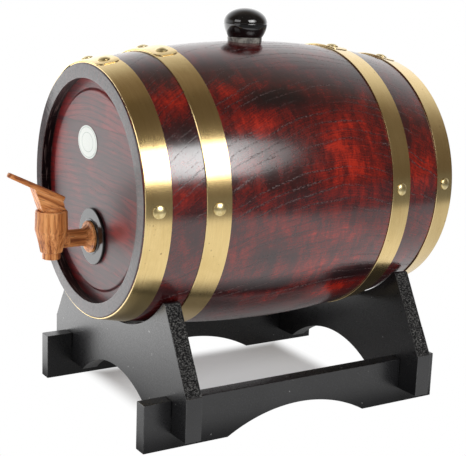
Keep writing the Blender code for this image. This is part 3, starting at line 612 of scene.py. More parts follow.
def black_board():
    """Black satin paint over board: smooth on the faces, fuzzy on the sawn slopes."""
    g = Graph("black_painted_board")
    place = g.position()
    x, y, z = g.split(place)
    nx, ny, nz = g.split(g.normal())
    side = g.absolute(nx)
    sloped = g.remap(side, 0.5, 0.8) * g.remap(nz, 0.2, 0.4) * g.remap(z, 40 * MM, 43 * MM)
    broad = g.noise(place, 30, 3, 0.5)
    fine = g.noise(place, 900, 3, 0.65)
    fuzz = g.cloud(x * 1000, y * 700, z * 1000, 4, 0.75)
    dust = g.remap(g.noise(place, 260, 1, 0.5), 0.765, 0.79)
    off_seam = g.remap(g.absolute(z - CRADLE_SEAM_Z), 0.8 * MM, 1.2 * MM)
    flat_face = g.remap(g.absolute(ny), 0.3, 0.6)
    wear_and_highlight = g.edge_wear_and_highlight(0.7 * MM) * g.lerp(flat_face, 1.0, off_seam)
    chipped = wear_and_highlight * g.remap(g.noise(place, 300, 2, 0.6), 0.42, 0.62, 0.25, 1.0)
    colour = g.mix(g.remap(broad, 0.35, 0.65), (0.0045, 0.0045, 0.0055), (0.0080, 0.0080, 0.0092))
    rough_colour = g.mix(g.remap(fuzz, 0.47, 0.64), (0.003, 0.003, 0.0035), (0.13, 0.13, 0.128))
    colour = g.mix(sloped, colour, rough_colour)
    colour = g.mix(chipped * 0.35, colour, (0.22, 0.22, 0.22))
    colour = g.mix(dust * 0.5, colour, (0.5, 0.5, 0.5))
    relief = g.lerp(sloped, fine * 0.12 + broad, fuzz * 6.0)
    return g.finish(
        base_color=colour,
        roughness=g.lerp(sloped, g.remap(fine, 0.3, 0.7, 0.26, 0.34), 0.75),
        specular_ior_level=g.lerp(sloped, 0.65, 0.15),
        normal=g.bump(relief, 0.06 * MM, 0.4),
    )


# ---- mesh helpers


def new_object(name, data):
    """An object in the scene for a mesh, lamp or camera."""
    thing = bpy.data.objects.new(name, data)
    bpy.context.scene.collection.objects.link(thing)
    return thing


def mesh_from(bm, materials):
    """A finished mesh with smooth faces between edges that aren't sharp."""
    bmesh.ops.recalc_face_normals(bm, faces=bm.faces[:])
    mesh = bpy.data.meshes.new("mesh")
    bm.to_mesh(mesh)
    bm.free()
    for material in materials:
        mesh.materials.append(material)
    mesh.shade_smooth()
    mesh.set_sharp_from_angle(angle=SMOOTH_ANGLE)
    return mesh


def add_piece(node, mesh, body):
    """Show a mesh in place of one CAD node; its vertices are already where they belong."""
    mesh.name = node
    piece = new_object(f"{node}_visual", mesh)
    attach(piece, body)
    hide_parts(node)
    flatten = piece.modifiers.new("flat faces", "WEIGHTED_NORMAL")
    flatten.keep_sharp = True


def boolean(mesh, other, operation):
    """The mesh with another one cut from it or joined to it."""
    holder = new_object("holder", mesh)
    tool = new_object("tool", other)
    modifier = holder.modifiers.new("boolean", "BOOLEAN")
    modifier.operation = operation
    modifier.solver = "EXACT"
    modifier.object = tool
    graph = bpy.context.evaluated_depsgraph_get()
    result = bpy.data.meshes.new_from_object(holder.evaluated_get(graph))
    for item in (holder, tool):
        bpy.data.objects.remove(item)
    result.shade_smooth()
    result.set_sharp_from_angle(angle=SMOOTH_ANGLE)
    return result


def move(bm, x=0.0, y=0.0, z=0.0):
    bmesh.ops.translate(bm, verts=bm.verts[:], vec=(x, y, z))
    return bm


def bridge(bm, lower, upper):
    """Join two rings; a ring of one vertex is a point on the axis."""
    if len(lower) == 1 and len(upper) == 1:
        return
    count = max(len(lower), len(upper))
    for step in range(count):
        after = (step + 1) % count
        corners = [lower[step % len(lower)], lower[after % len(lower)]]
        corners += [upper[after % len(upper)], upper[step % len(upper)]]
        bm.faces.new(list(dict.fromkeys(corners)))


def lathe(profile, segments, scale=None):
    """Turn (radius, height) points round Z; scale(angle, height) may change a ring's radius."""
    bm = bmesh.new()
    rings = []
    for radius, height in profile:
        if radius == 0:
            rings.append([bm.verts.new((0, 0, height))])
            continue
        ring = []
        for step in range(segments):
            angle = 2 * pi * step / segments
            reach = radius * (scale(angle, height) if scale else 1)
            ring.append(bm.verts.new((reach * cos(angle), reach * sin(angle), height)))
        rings.append(ring)
    for lower, upper in zip(rings, rings[1:] + rings[:1]):
        bridge(bm, lower, upper)
    return bm


def rod(radius, start, end):
    """Profile of a plain cylinder."""
    return [(0, start), (radius, start), (radius, end), (0, end)]


def off_the_edges(bm):
    """Turn a cutter a little about Z, so that its edges miss the edges of what it cuts."""
    bmesh.ops.rotate(bm, cent=(0, 0, 0), matrix=Matrix.Rotation(radians(1.3), 3, "Z"), verts=bm.verts[:])
    return bm


def along_barrel(bm):
    """Turn a shape made round Z so that it runs along +Y, into the barrel from its front end."""
    turn = Matrix(((1, 0, 0), (0, 0, 1), (0, 1, 0))).to_4x4()
    bmesh.ops.transform(bm, matrix=turn, verts=bm.verts[:])
    return bm


def turned(profile, segments, materials, lying=False, cutter=False, scale=None, **place):
    """A lathed mesh moved into place, its axis upright or, when lying, along the barrel."""
    bm = lathe(profile, segments, scale)
    if cutter:
        off_the_edges(bm)
    if lying:
        along_barrel(bm)
    return mesh_from(move(bm, **place), materials)


def rounded(points, radius, steps=4):
    """A closed or open outline whose listed corners are rounded: points are (u, v, wanted share)."""
    result = []
    count = len(points)
    for index, (u, v, share) in enumerate(points):
        corner = Vector((u, v))
        if not share or index in (0, count - 1):
            result.append((u, v))
            continue
        before = Vector(points[index - 1][:2]) - corner
        after = Vector(points[index + 1][:2]) - corner
        reach = min(radius * share, before.length * 0.49, after.length * 0.49)
        start = corner + before.normalized() * reach
        end = corner + after.normalized() * reach
        for step in range(steps + 1):
            t = step / steps
            spot = start * (1 - t) ** 2 + corner * (2 * t * (1 - t)) + end * t**2
            result.append((spot.x, spot.y))
    return result


def extrude_outline(points, thickness, place):
    """A flat outline of (u, v) points made solid; place(u, v, w) gives a corner, w from 0 to thickness."""
    bm = bmesh.new()
    near = [bm.verts.new(place(u, v, 0)) for u, v in points]
    far = [bm.verts.new(place(u, v, thickness)) for u, v in points]
    bm.faces.new(near)
    bm.faces.new(far)
    for index in range(len(points)):
        after = (index + 1) % len(points)
        bm.faces.new((near[index], near[after], far[after], far[index]))
    bmesh.ops.recalc_face_normals(bm, faces=bm.faces[:])
    return bm


def bevel_edges(bm, width, segments=2, wanted=None):
    """Round every edge sharper than SMOOTH_ANGLE for which wanted(edge) holds."""
    edges = [edge for edge in bm.edges if edge.calc_face_angle(0) > SMOOTH_ANGLE]
    if wanted:
        edges = [edge for edge in edges if wanted(edge)]
    bmesh.ops.bevel(
        bm, geom=edges, offset=width, segments=segments, profile=0.5, affect="EDGES", clamp_overlap=True
    )
    return bm


def arc(radius, reach, steps):
    """Points round (0, 0) from the angle `reach` on one side of straight up to the same on the other."""
    turns = [reach * (1 - 2 * step / steps) for step in range(steps + 1)]
    return [(radius * sin(turn), radius * cos(turn)) for turn in turns]


def arch_points(half_span, base, rise):
    """Points of a round arch from (half_span, base) over (0, base + rise) to (-half_span, base)."""
    radius = (half_span**2 + rise**2) / (2 * rise)
    centre = base + rise - radius
    return [(x, centre + height) for x, height in arc(radius, asin(half_span / radius), 48)]


def mirrored(points):
    """The same points on the other side, in the order that carries an outline on."""
    return [(-x, z) for x, z in reversed(points)]


def outer_radius(y):
    """Outside radius of the staves at y from the barrel's middle."""
    return BULGE_RADIUS - (BULGE_RADIUS - END_RADIUS) * (y / HALF_LENGTH) ** 2


def outer_slope(y):
    """Change of the outside radius along y."""
    return -2 * (BULGE_RADIUS - END_RADIUS) * y / HALF_LENGTH**2


def round_axis(r, y, angle):
    """The point at radius r, y from the barrel's middle and an angle from straight up."""
    return (r * sin(angle), BARREL_Y + y, AXIS_Z + r * cos(angle))


# ---- staves


def stave_profile():
    """Closed (y, r) outline of a stave cut along its length, with rounded chime corners and a croze."""
    steps = 56
    outer_corner = 0.8 * MM
    inner_end = HALF_LENGTH - HEAD_FACE_DEPTH - HEAD_STEP + HAIR
    croze_inner = inner_end - HEAD_RIM_THICKNESS - 2 * HAIR
    first = -HALF_LENGTH + outer_corner
    outer = [first * (1 - 2 * step / steps) for step in range(steps + 1)]
    outer = [(y, outer_radius(y)) for y in outer]
    front = [(-HALF_LENGTH, END_RADIUS - outer_corner)]
    front.append((-HALF_LENGTH + outer_corner * 0.3, END_RADIUS - outer_corner * 0.25))
    rear = mirrored(front)
    corner = 0.7 * MM
    inside = END_RADIUS - STAVE_THICKNESS
    half = [
        (HALF_LENGTH, inside + corner),
        (HALF_LENGTH - corner * 0.3, inside + corner * 0.3),
        (HALF_LENGTH - corner, outer_radius(HALF_LENGTH - corner) - STAVE_THICKNESS),
        (inner_end, outer_radius(inner_end) - STAVE_THICKNESS),
        (inner_end, CROZE_RADIUS),
        (croze_inner, CROZE_RADIUS),
    ]
    inner_steps = 8
    for step in range(inner_steps + 1):
        y = croze_inner * (1 - step / inner_steps)
        half.append((y, outer_radius(y) - STAVE_THICKNESS))
    return front + outer + rear + half + mirrored(half[:-1])


def outline_normals(points):
    """Unit normals pointing out of a closed outline that runs clockwise in (y, r)."""
    normals = []
    for index, (y, r) in enumerate(points):
        before = Vector(points[index - 1])
        after = Vector(points[(index + 1) % len(points)])
        tangent = (after - before).normalized()
        normals.append(Vector((-tangent.y, tangent.x)))
    return normals


def stave_mesh(index, materials):
    """One stave: the outline swept across its width, sunk a little along both joints."""
    profile = stave_profile()
    normals = outline_normals(profile)
    divisions = 10
    bm = bmesh.new()
    columns = []
    for (y, r), normal in zip(profile, normals):
        half = STAVE_ANGLE / 2 - asin(HAIR / 2 / r)
        groove = JOINT_GROOVE_WIDTH / r
        turns = [-half] + [(half - groove) * (2 * s / divisions - 1) for s in range(divisions + 1)] + [half]
        column = []
        for place, turn in enumerate(turns):
            drop = JOINT_GROOVE if place in (0, len(turns) - 1) else 0
            spot = Vector((y, r)) - normal * drop
            column.append(bm.verts.new(round_axis(spot.y, spot.x, turn + index * STAVE_ANGLE)))
        columns.append(column)
    rows = len(columns[0])
    for place, (this, after) in enumerate(zip(columns, columns[1:] + columns[:1])):
        (y, r), (next_y, next_r) = profile[place], profile[(place + 1) % len(profile)]
        outside = min(r, next_r) > END_RADIUS - STAVE_THICKNESS / 2
        end = HALF_LENGTH - (0.6 * MM if outside else HEAD_FACE_DEPTH + 2 * HEAD_STEP)
        on_end = min(abs(y), abs(next_y)) > end
        for step in range(rows - 1):
            face = bm.faces.new((this[step], this[step + 1], after[step + 1], after[step]))
            face.material_index = 1 if on_end else 0
    bm.faces.new([column[0] for column in columns])
    bm.faces.new([column[-1] for column in columns])
    return mesh_from(bm, materials)


def build_staves():
    """All staves; the one on top gets the bung hole."""
    materials = (oak_side(), oak_chime())
    for index in range(STAVE_COUNT):
        mesh = stave_mesh(index, materials)
        if index == 0:
            walls = [(plug_radius(z) + BUNG_GAP, z) for z in (KNOB_BASE_Z, PLUG_BOTTOM_Z)]
            profile = [(0, KNOB_BASE_Z)] + walls + [(0, PLUG_BOTTOM_Z)]
            hole = turned(profile, 64, materials[:1], y=BUNG_Y)
            mesh = boolean(mesh, hole, "DIFFERENCE")
        add_piece(f"stave_{index + 1:02d}", mesh, "barrel")


# ---- heads


def head_profile():
    """(radius, depth) of a head, from the middle of its face round to its back."""
    face = HEAD_FACE_DEPTH
    rim = face + HEAD_STEP
    back = face + HEAD_THICKNESS
    raised = HEAD_RAISED_RADIUS
    return [
        (0, face),
        (raised - 1.1 * MM, face),
        (raised - 0.8 * MM, face),
        (raised - 0.1 * MM, face + 0.25 * MM),
        (raised + 0.5 * MM, face + 0.95 * MM),
        (raised + 1.0 * MM, rim - 0.12 * MM),
        (raised + 1.7 * MM, rim),
        (HEAD_RIM_RADIUS, rim),
        (HEAD_RIM_RADIUS, rim + HEAD_RIM_THICKNESS),
        (HEAD_SHOULDER_RADIUS, rim + HEAD_RIM_THICKNESS),
        (HEAD_INNER_RADIUS, back),
        (0, back),
    ]


def slice_between(bm, low, high):
    """Keep the part of a closed mesh between two heights on its local Y, and close the cuts."""
    for height, keep_above in ((low, True), (high, False)):
        cut = bmesh.ops.bisect_plane(
            bm,
            geom=bm.verts[:] + bm.edges[:] + bm.faces[:],
            plane_co=(0, height, 0),
            plane_no=(0, 1, 0),
            clear_inner=keep_above,
            clear_outer=not keep_above,
        )
        edges = [item for item in cut["geom_cut"] if isinstance(item, bmesh.types.BMEdge)]
        bmesh.ops.contextual_create(bm, geom=edges)


def build_head(side, material):
    """The four boards of the front or rear head; one of the front's is bored for the tap."""
    inward = 1 if side == "front" else -1
    limits = (-HEAD_RIM_RADIUS - HAIR,) + HEAD_JOINTS + (HEAD_RIM_RADIUS + HAIR,)
    for index, (low, high) in enumerate(zip(limits, limits[1:])):
        bm = lathe(head_profile(), 144)
        slice_between(bm, low + HAIR / 2, high - HAIR / 2)
        turn = Matrix(((1, 0, 0), (0, 0, inward), (0, 1, 0))).to_4x4()
        bmesh.ops.transform(bm, matrix=turn, verts=bm.verts[:])
        move(bm, y=BARREL_Y - inward * HALF_LENGTH, z=AXIS_Z)
        mesh = mesh_from(bm, [material])
        if side == "front" and index == 1:
            reach = HEAD_FACE_DEPTH + 2 * HEAD_THICKNESS
            bore = turned(rod(HEAD_BORE_RADIUS, 0, reach), 64, [material], lying=True, **SHANK_START)
            mesh = boolean(mesh, bore, "DIFFERENCE")
        add_piece(f"{side}_head_board_{index + 1}", mesh, "barrel")


# ---- hoops and rivets


def lap_lift(travel):
    """How far the strap stands off the barrel after `travel` radians from its inner end."""
    share = (travel - 2 * pi + LAP_RAMP) / LAP_RAMP
    share = min(max(share, 0.0), 1.0)
    share = share * share * (3 - 2 * share)
    return LAP_RISE * share


def hoop_mesh(material, front_edge, start, end):
    """A strap swept round the barrel past a full turn, with rounded corners at its outer end."""
    bm = bmesh.new()
    sweep = 2 * pi + end - start
    corner_sweep = LAP_CORNER / outer_radius(front_edge - HALF_LENGTH)
    coarse = 300
    travels = [(sweep - corner_sweep) * step / coarse for step in range(coarse)]
    fine = 10
    travels += [sweep - corner_sweep * (1 - sin(pi / 2 * step / fine)) for step in range(fine + 1)]
    middle = front_edge - HALF_LENGTH + HOOP_WIDTH / 2
    stations = []
    for travel in travels:
        angle = start + travel
        into = LAP_CORNER - min((sweep - travel) / corner_sweep, 1.0) * LAP_CORNER
        trim = LAP_CORNER - sqrt(max(LAP_CORNER**2 - into**2, 0))
        half = HOOP_WIDTH / 2 - trim
        eased = half - HOOP_EDGE
        outline = ((-half, 0), (half, 0), (half, 1), (eased, 2), (-eased, 2), (-half, 1))
        section = []
        thin = 1 - LAP_END_THINNING * (into / LAP_CORNER) ** 2
        for y, level in outline:
            height = (0, HOOP_THICKNESS - HOOP_EDGE, HOOP_THICKNESS)[level] * thin
            r = outer_radius(middle + y) + HOOP_GAP + lap_lift(travel) + height
            section.append(bm.verts.new(round_axis(r, middle + y, angle)))
        stations.append(section)
    for this, after in zip(stations, stations[1:]):
        bridge(bm, this, after)
    bm.faces.new(stations[0])
    bm.faces.new(stations[-1])
    return mesh_from(bm, [material])


def rivet_mesh(material, y, angle, lapped):
    """A domed head with a short cylindrical rim and a shank, standing on the hoop."""
    rim = 0.35 * MM
    rise = RIVET_HEIGHT - rim
    ball = (RIVET_RADIUS**2 + rise**2) / (2 * rise)
    profile = [(0, RIVET_HEIGHT)]
    steps = 9
    for step in range(1, steps):
        r = RIVET_RADIUS * sin(pi / 2 * step / steps) * 0.985
        profile.append((r, RIVET_HEIGHT - ball + sqrt(ball**2 - r**2)))
    profile += [(RIVET_RADIUS, rim * 0.7), (RIVET_RADIUS, 0), (RIVET_SHANK_RADIUS, 0)]
    profile += [(RIVET_SHANK_RADIUS, -RIVET_LENGTH), (0, -RIVET_LENGTH - RIVET_SHANK_RADIUS)]
    bm = lathe(profile, 36)
    r = outer_radius(y) + HOOP_GAP + HOOP_THICKNESS + (LAP_RISE if lapped else 0)
    normal = Vector((sin(angle), -outer_slope(y), cos(angle))).normalized()
    turn = normal.to_track_quat("Z", "Y").to_matrix().to_4x4()
    bmesh.ops.transform(bm, matrix=Matrix.Translation(round_axis(r, y, angle)) @ turn, verts=bm.verts[:])
    return mesh_from(bm, [material])


def build_hoops():
    """The hoops, each with two lap rivets and a nail on each side."""
    brass = brushed_brass()
    bright = polished_brass()
    for name, front_edge, spacing, lap_angle, nail_angle in HOOPS:
        first = lap_angle - spacing
        mesh = hoop_mesh(brass, front_edge, first - LAP_BEFORE, lap_angle + LAP_AFTER)
        add_piece(name, mesh, "barrel")
        middle = front_edge - HALF_LENGTH + HOOP_WIDTH / 2
        spots = ((first, True), (lap_angle, True), (nail_angle, False), (-nail_angle, False))
        for index, (angle, lapped) in enumerate(spots):
            rivet = rivet_mesh(bright, middle, angle, lapped)
            add_piece(f"{name}_rivet_{index + 1}", rivet, "barrel")


# ---- tap and key


def facet_scale(angle, height):
    """Flats whittled on the tap's lower taper: none at the waist, full at the bottom."""
    share = (TAP_WAIST_Z - height) / (TAP_WAIST_Z - TAP_BOTTOM_Z)
    share = min(max(share * 1.3, 0.0), 1.0)
    sector = 2 * pi / TAP_FACETS
    off_middle = (angle % sector) - sector / 2
    flat = cos(sector / 2) / cos(off_middle)
    return 1 + (flat - 1) * share


def key_radius(z):
    """Radius of the key's tapered plug."""
    share = (z - TAP_BOTTOM_Z) / (TAP_TOP_Z - TAP_BOTTOM_Z)
    return KEY_BOTTOM_RADIUS + (KEY_TOP_RADIUS - KEY_BOTTOM_RADIUS) * max(share, 0.0)


def tap_body_profile():
    """(radius, height) of the tap's body: eased rims, straight to the waist, then a taper."""
    edge = 1.0 * MM
    low = 0.7 * MM
    points = [(0, TAP_TOP_Z), (TAP_TOP_RADIUS - edge, TAP_TOP_Z)]
    points.append((TAP_TOP_RADIUS - edge * 0.3, TAP_TOP_Z - edge * 0.3))
    points.append((TAP_TOP_RADIUS, TAP_TOP_Z - edge))
    points.append((TAP_WAIST_RADIUS, TAP_WAIST_Z + 1.5 * MM))
    points.append((TAP_WAIST_RADIUS, TAP_WAIST_Z))
    rows = 8
    bottom = TAP_BOTTOM_RADIUS + low / 3
    for step in range(1, rows + 1):
        share = step / rows
        z = TAP_WAIST_Z + (TAP_BOTTOM_Z + low - TAP_WAIST_Z) * share
        points.append((TAP_WAIST_RADIUS + (bottom - TAP_WAIST_RADIUS) * share, z))
    points.append((TAP_BOTTOM_RADIUS - low / 2, TAP_BOTTOM_Z))
    points.append((0, TAP_BOTTOM_Z))
    return points


def shank_profile():
    """(radius, depth) from inside the tap's body to the shank's end inside the barrel."""
    front, back = FLANGE_DEPTHS
    flare = 1.2 * MM
    neck = front - 5 * flare
    points = [(0, -TAP_STANDOFF + KEY_TOP_RADIUS / 2), (SHANK_RADIUS, -TAP_STANDOFF + KEY_TOP_RADIUS / 2)]
    rows = 8
    for step in range(rows + 1):
        share = step / rows
        points.append((SHANK_RADIUS + 2.2 * flare * share**3, neck + (front - 0.2 * flare - neck) * share))
    points += [
        (FLANGE_RADIUS - 0.8 * flare, front - 0.1 * flare),
        (FLANGE_RADIUS - 0.2 * flare, front + 0.15 * flare),
        (FLANGE_RADIUS, front + 0.6 * flare),
        (FLANGE_RADIUS, back),
        (SHANK_RADIUS, back),
        (SHANK_INNER_RADIUS, SHANK_INNER_DEPTH),
        (0, SHANK_INNER_DEPTH),
    ]
    return points


def body_grain(g, x, y, z):
    """The body's grain stands upright; the shank's runs back along the barrel."""
    behind = g.remap(y, TAP_Y + 10.0 * MM, TAP_Y + 11.5 * MM)
    return x, g.lerp(behind, y, z), g.lerp(behind, z, y)


def key_grain(g, x, y, z):
    """The lever's grain follows the paddle's slope above the tap and stands upright below it."""
    above = g.remap(z, TAP_TOP_Z - 0.5 * MM, TAP_TOP_Z + 0.5 * MM)
    forward = (TAP_Y - y) * cos(PADDLE_SLOPE) + z * sin(PADDLE_SLOPE)
    up = z * cos(PADDLE_SLOPE) - (TAP_Y - y) * sin(PADDLE_SLOPE)
    return x, g.lerp(above, y, up), g.lerp(above, z, forward)


def build_tap():
    """Body and shank in one piece of wood, bored for the key and along the shank."""
    wood = [tap_wood("tap_wood", body_grain)]
    body = turned(tap_body_profile(), 96, wood, scale=facet_scale, y=TAP_Y)
    shank = turned(shank_profile(), 64, wood, lying=True, **SHANK_START)
    mesh = boolean(body, shank, "UNION")
    heights = (TAP_TOP_Z + 5 * CUT_PAST, TAP_BOTTOM_Z, TAP_BOTTOM_Z - 5 * CUT_PAST)
    walls = [(key_radius(z) + KEY_GAP, z) for z in heights]
    profile = [(0, heights[0])] + walls + [(0, heights[-1])]
    mesh = boolean(mesh, turned(profile, 96, wood, cutter=True, y=TAP_Y), "DIFFERENCE")
    profile = rod(SHANK_BORE_RADIUS, -TAP_STANDOFF + CUT_PAST, SHANK_INNER_DEPTH + CUT_PAST)
    bore = turned(profile, 40, wood, lying=True, cutter=True, **SHANK_START)
    add_piece("tap_body", boolean(mesh, bore, "DIFFERENCE"), "tap")


def build_washer():
    """The washer's face steps up from a hub that the flange presses on; its rim is rounded."""
    profile = [
        (HEAD_BORE_RADIUS, WASHER_BACK_DEPTH, 0),
        (HEAD_BORE_RADIUS, WASHER_HUB_DEPTH, 0),
        (WASHER_HUB_RADIUS, WASHER_HUB_DEPTH, 1),
        (WASHER_HUB_RADIUS + 0.3 * MM, WASHER_FACE_DEPTH, 0.8),
        (WASHER_HUB_RADIUS + 1.4 * MM, WASHER_FACE_DEPTH, 0),
        (WASHER_RADIUS - 1.6 * MM, WASHER_FACE_DEPTH, 0),
        (WASHER_RADIUS, WASHER_FACE_DEPTH, 1.6),
        (WASHER_RADIUS, WASHER_BACK_DEPTH, 0),
    ]
    black = [gloss_black("gloss_black_washer", 0.12, 0.0)]
    mesh = turned(rounded(profile, 0.5 * MM, 5), 144, black, lying=True, **SHANK_START)
    add_piece("tap_washer", mesh, "barrel")


def paddle_point(along, across_thickness):
    """(forward, z) of a point `along` the paddle and `across_thickness` below its top."""
    forward = -PADDLE_REAR + along * cos(PADDLE_SLOPE) + across_thickness * sin(PADDLE_SLOPE)
    z = PADDLE_REAR_Z + along * sin(PADDLE_SLOPE) - across_thickness * cos(PADDLE_SLOPE)
    return forward, z


def paddle_bm():
    """A paddle that widens and thins to a round tip and slopes up towards -Y, its edges eased."""
    length = (LEVER_REACH + PADDLE_REAR - PADDLE_TIP_THICKNESS * sin(PADDLE_SLOPE)) / cos(PADDLE_SLOPE)
    centre = length - PADDLE_TIP_HALF_WIDTH
    outline = [(-PADDLE_REAR_HALF_WIDTH, 0)]
    outline += [(-x, centre + forward) for x, forward in arc(PADDLE_TIP_HALF_WIDTH, pi / 2, 24)]
    outline.append((PADDLE_REAR_HALF_WIDTH, 0))

    def place(x, along, share):
        thickness = PADDLE_THICKNESS + (PADDLE_TIP_THICKNESS - PADDLE_THICKNESS) * along / length
        forward, z = paddle_point(along, thickness * share)
        return (x, TAP_Y - forward, z)

    return bevel_edges(extrude_outline(outline, 1, place), 0.9 * MM, 3)


def web_bm():
    """The flat web that carries the paddle, widening upwards from the plug."""
    overlap = PADDLE_THICKNESS / 2
    low_z = TAP_TOP_Z + KEY_GAP
    front_high = paddle_point((PADDLE_REAR + 13.5 * MM) / cos(PADDLE_SLOPE), overlap)
    rear_high = paddle_point(2.0 * MM, overlap)
    outline = [
        (-9.0 * MM, low_z),
        (8.3 * MM, low_z),
        (9.5 * MM, low_z + 3.4 * MM),
        front_high,
        rear_high,
        (-7.4 * MM, TAP_TOP_Z + 4.5 * MM),
        (-7.8 * MM, TAP_TOP_Z + 2.4 * MM),
    ]

    def place(forward, z, across):
        return (across - WEB_HALF_WIDTH, TAP_Y - forward, z)

    return bevel_edges(extrude_outline(outline, 2 * WEB_HALF_WIDTH, place), 0.5 * MM, 2)


def build_key():
    """Plug, web and paddle in one piece, with an outlet below and a port to the side."""
    wood = [tap_wood("key_wood", key_grain)]
    profile = [
        (0, TAP_TOP_Z + 2 * MM, 0),
        (KEY_TOP_RADIUS - 0.4 * MM, TAP_TOP_Z + 2 * MM, 1),
        (key_radius(TAP_TOP_Z - 1 * MM), TAP_TOP_Z - 1 * MM, 0),
        (KEY_BOTTOM_RADIUS, TAP_BOTTOM_Z, 0),
        (KEY_BOTTOM_RADIUS, KEY_BOTTOM_Z, 1),
        (0, KEY_BOTTOM_Z, 0),
    ]
    mesh = turned(rounded(profile, 0.6 * MM), 96, wood, y=TAP_Y)
    mesh = boolean(mesh, mesh_from(web_bm(), wood), "UNION")
    mesh = boolean(mesh, mesh_from(paddle_bm(), wood), "UNION")
    profile = rod(KEY_BORE_RADIUS, KEY_BOTTOM_Z - CUT_PAST, TAP_Z + 2 * KEY_BORE_RADIUS)
    mesh = boolean(mesh, turned(profile, 48, wood, cutter=True, y=TAP_Y), "DIFFERENCE")
    side = off_the_edges(lathe(rod(SHANK_BORE_RADIUS, 0.4 * CUT_PAST, 2 * KEY_TOP_RADIUS), 40))
    bmesh.ops.rotate(side, cent=(0, 0, 0), matrix=Matrix.Rotation(pi / 2, 3, "Y"), verts=side.verts[:])
    port = mesh_from(move(side, y=TAP_Y, z=TAP_Z), wood)
    add_piece("tap_key", boolean(mesh, port, "DIFFERENCE"), "tap_key")


# ---- bung and label


def plug_radius(z):
    """Radius of the bung's tapered plug."""
    share = (KNOB_BASE_Z - z) / (KNOB_BASE_Z - PLUG_BOTTOM_Z)
    return PLUG_TOP_RADIUS + (PLUG_BOTTOM_RADIUS - PLUG_TOP_RADIUS) * share


def build_bung():
    """A knob with a domed upper half over a seam, and the plug whose spigot sits in it."""
    steps = 20
    profile = [(0, KNOB_SEAM_Z + KNOB_DOME_HEIGHT)]
    for step in range(1, steps + 1):
        turn = (pi / 2) * (1 - step / steps)
        profile.append((KNOB_RADIUS * cos(turn), KNOB_SEAM_Z + KNOB_DOME_HEIGHT * sin(turn) + 0.15 * MM))
    profile += [(KNOB_RADIUS - 0.35 * MM, KNOB_SEAM_Z), (KNOB_RADIUS - 0.1 * MM, KNOB_SEAM_Z - 0.4 * MM)]
    rows = 12
    for step in range(1, rows + 1):
        drop = (KNOB_SEAM_Z - KNOB_BASE_Z) * step / rows
        profile.append((KNOB_RADIUS * sqrt(1 - (drop / KNOB_LOWER_HEIGHT) ** 2), KNOB_SEAM_Z - drop))
    socket = SPIGOT_RADIUS + BUNG_GAP
    socket_top = KNOB_BASE_Z + SPIGOT_HEIGHT + BUNG_GAP
    profile += [(socket, KNOB_BASE_Z), (socket, socket_top), (0, socket_top)]
    black = [gloss_black("gloss_black_knob", 0.05, 0.6)]
    add_piece("bung_knob", turned(profile, 96, black, y=BUNG_Y), "bung")

    top = KNOB_BASE_Z - BUNG_GAP
    profile = [
        (0, KNOB_BASE_Z + SPIGOT_HEIGHT, 0),
        (SPIGOT_RADIUS, KNOB_BASE_Z + SPIGOT_HEIGHT, 1),
        (SPIGOT_RADIUS, top, 0),
        (plug_radius(top), top, 1),
        (plug_radius(PLUG_BOTTOM_Z), PLUG_BOTTOM_Z, 2),
        (0, PLUG_BOTTOM_Z, 0),
    ]
    plug = turned(rounded(profile, 0.5 * MM), 96, [plug_rubber()], y=BUNG_Y)
    add_piece("bung_plug", plug, "bung")


def build_label():
    """A thin oval sticker, its edge rounded over onto the head."""
    segments = 96
    face = FRONT_Y + HEAD_FACE_DEPTH
    rings = ((0.35, 0.30), (0.75, 0.30), (0.985, 0.30), (0.997, 0.24), (1.0, 0.15), (1.0, 0.02))
    bm = bmesh.new()
    loops = []
    for scale, lift in rings:
        loop = []
        for step in range(segments):
            turn = 2 * pi * step / segments
            x = LABEL_X + LABEL_WIDTH / 2 * scale * cos(turn)
            z = LABEL_Z + LABEL_HEIGHT / 2 * scale * sin(turn)
            loop.append(bm.verts.new((x, face - lift * MM, z)))
        loops.append(loop)
    bm.faces.new(loops[0])
    bm.faces.new(loops[-1])
    for inner, outer in zip(loops, loops[1:]):
        bridge(bm, inner, outer)
    add_piece("head_label", mesh_from(bm, [label_paper()]), "barrel")


# ---- stand


def rail_outline():
    """(y from the barrel's middle, z) outline of a rail: arched feet below, two notches above."""
    half = RAIL_LENGTH / 2
    notch = BOARD / 2 + STAND_GAP
    floor = LAP_Z - STAND_GAP / 2
    outline = [(half, 0), (half, RAIL_HEIGHT)]
    for middle in (CRADLE_OFFSET, -CRADLE_OFFSET):
        outline += [(middle + notch, RAIL_HEIGHT), (middle + notch, floor)]
        outline += [(middle - notch, floor), (middle - notch, RAIL_HEIGHT)]
    outline += [(-half, RAIL_HEIGHT), (-half, 0)]
    return outline + arch_points(RAIL_ARCH_HALF_SPAN, 0, RAIL_ARCH_HEIGHT)[::-1]


def slant_x(z):
    """Outside edge of a cradle between its lower corner and its ear."""
    share = (z - CRADLE_CORNER_Z) / (EAR_Z - CRADLE_CORNER_Z)
    low = CRADLE_HALF_WIDTH - CRADLE_LEDGE
    return low + (EAR_OUTER_X - low) * share


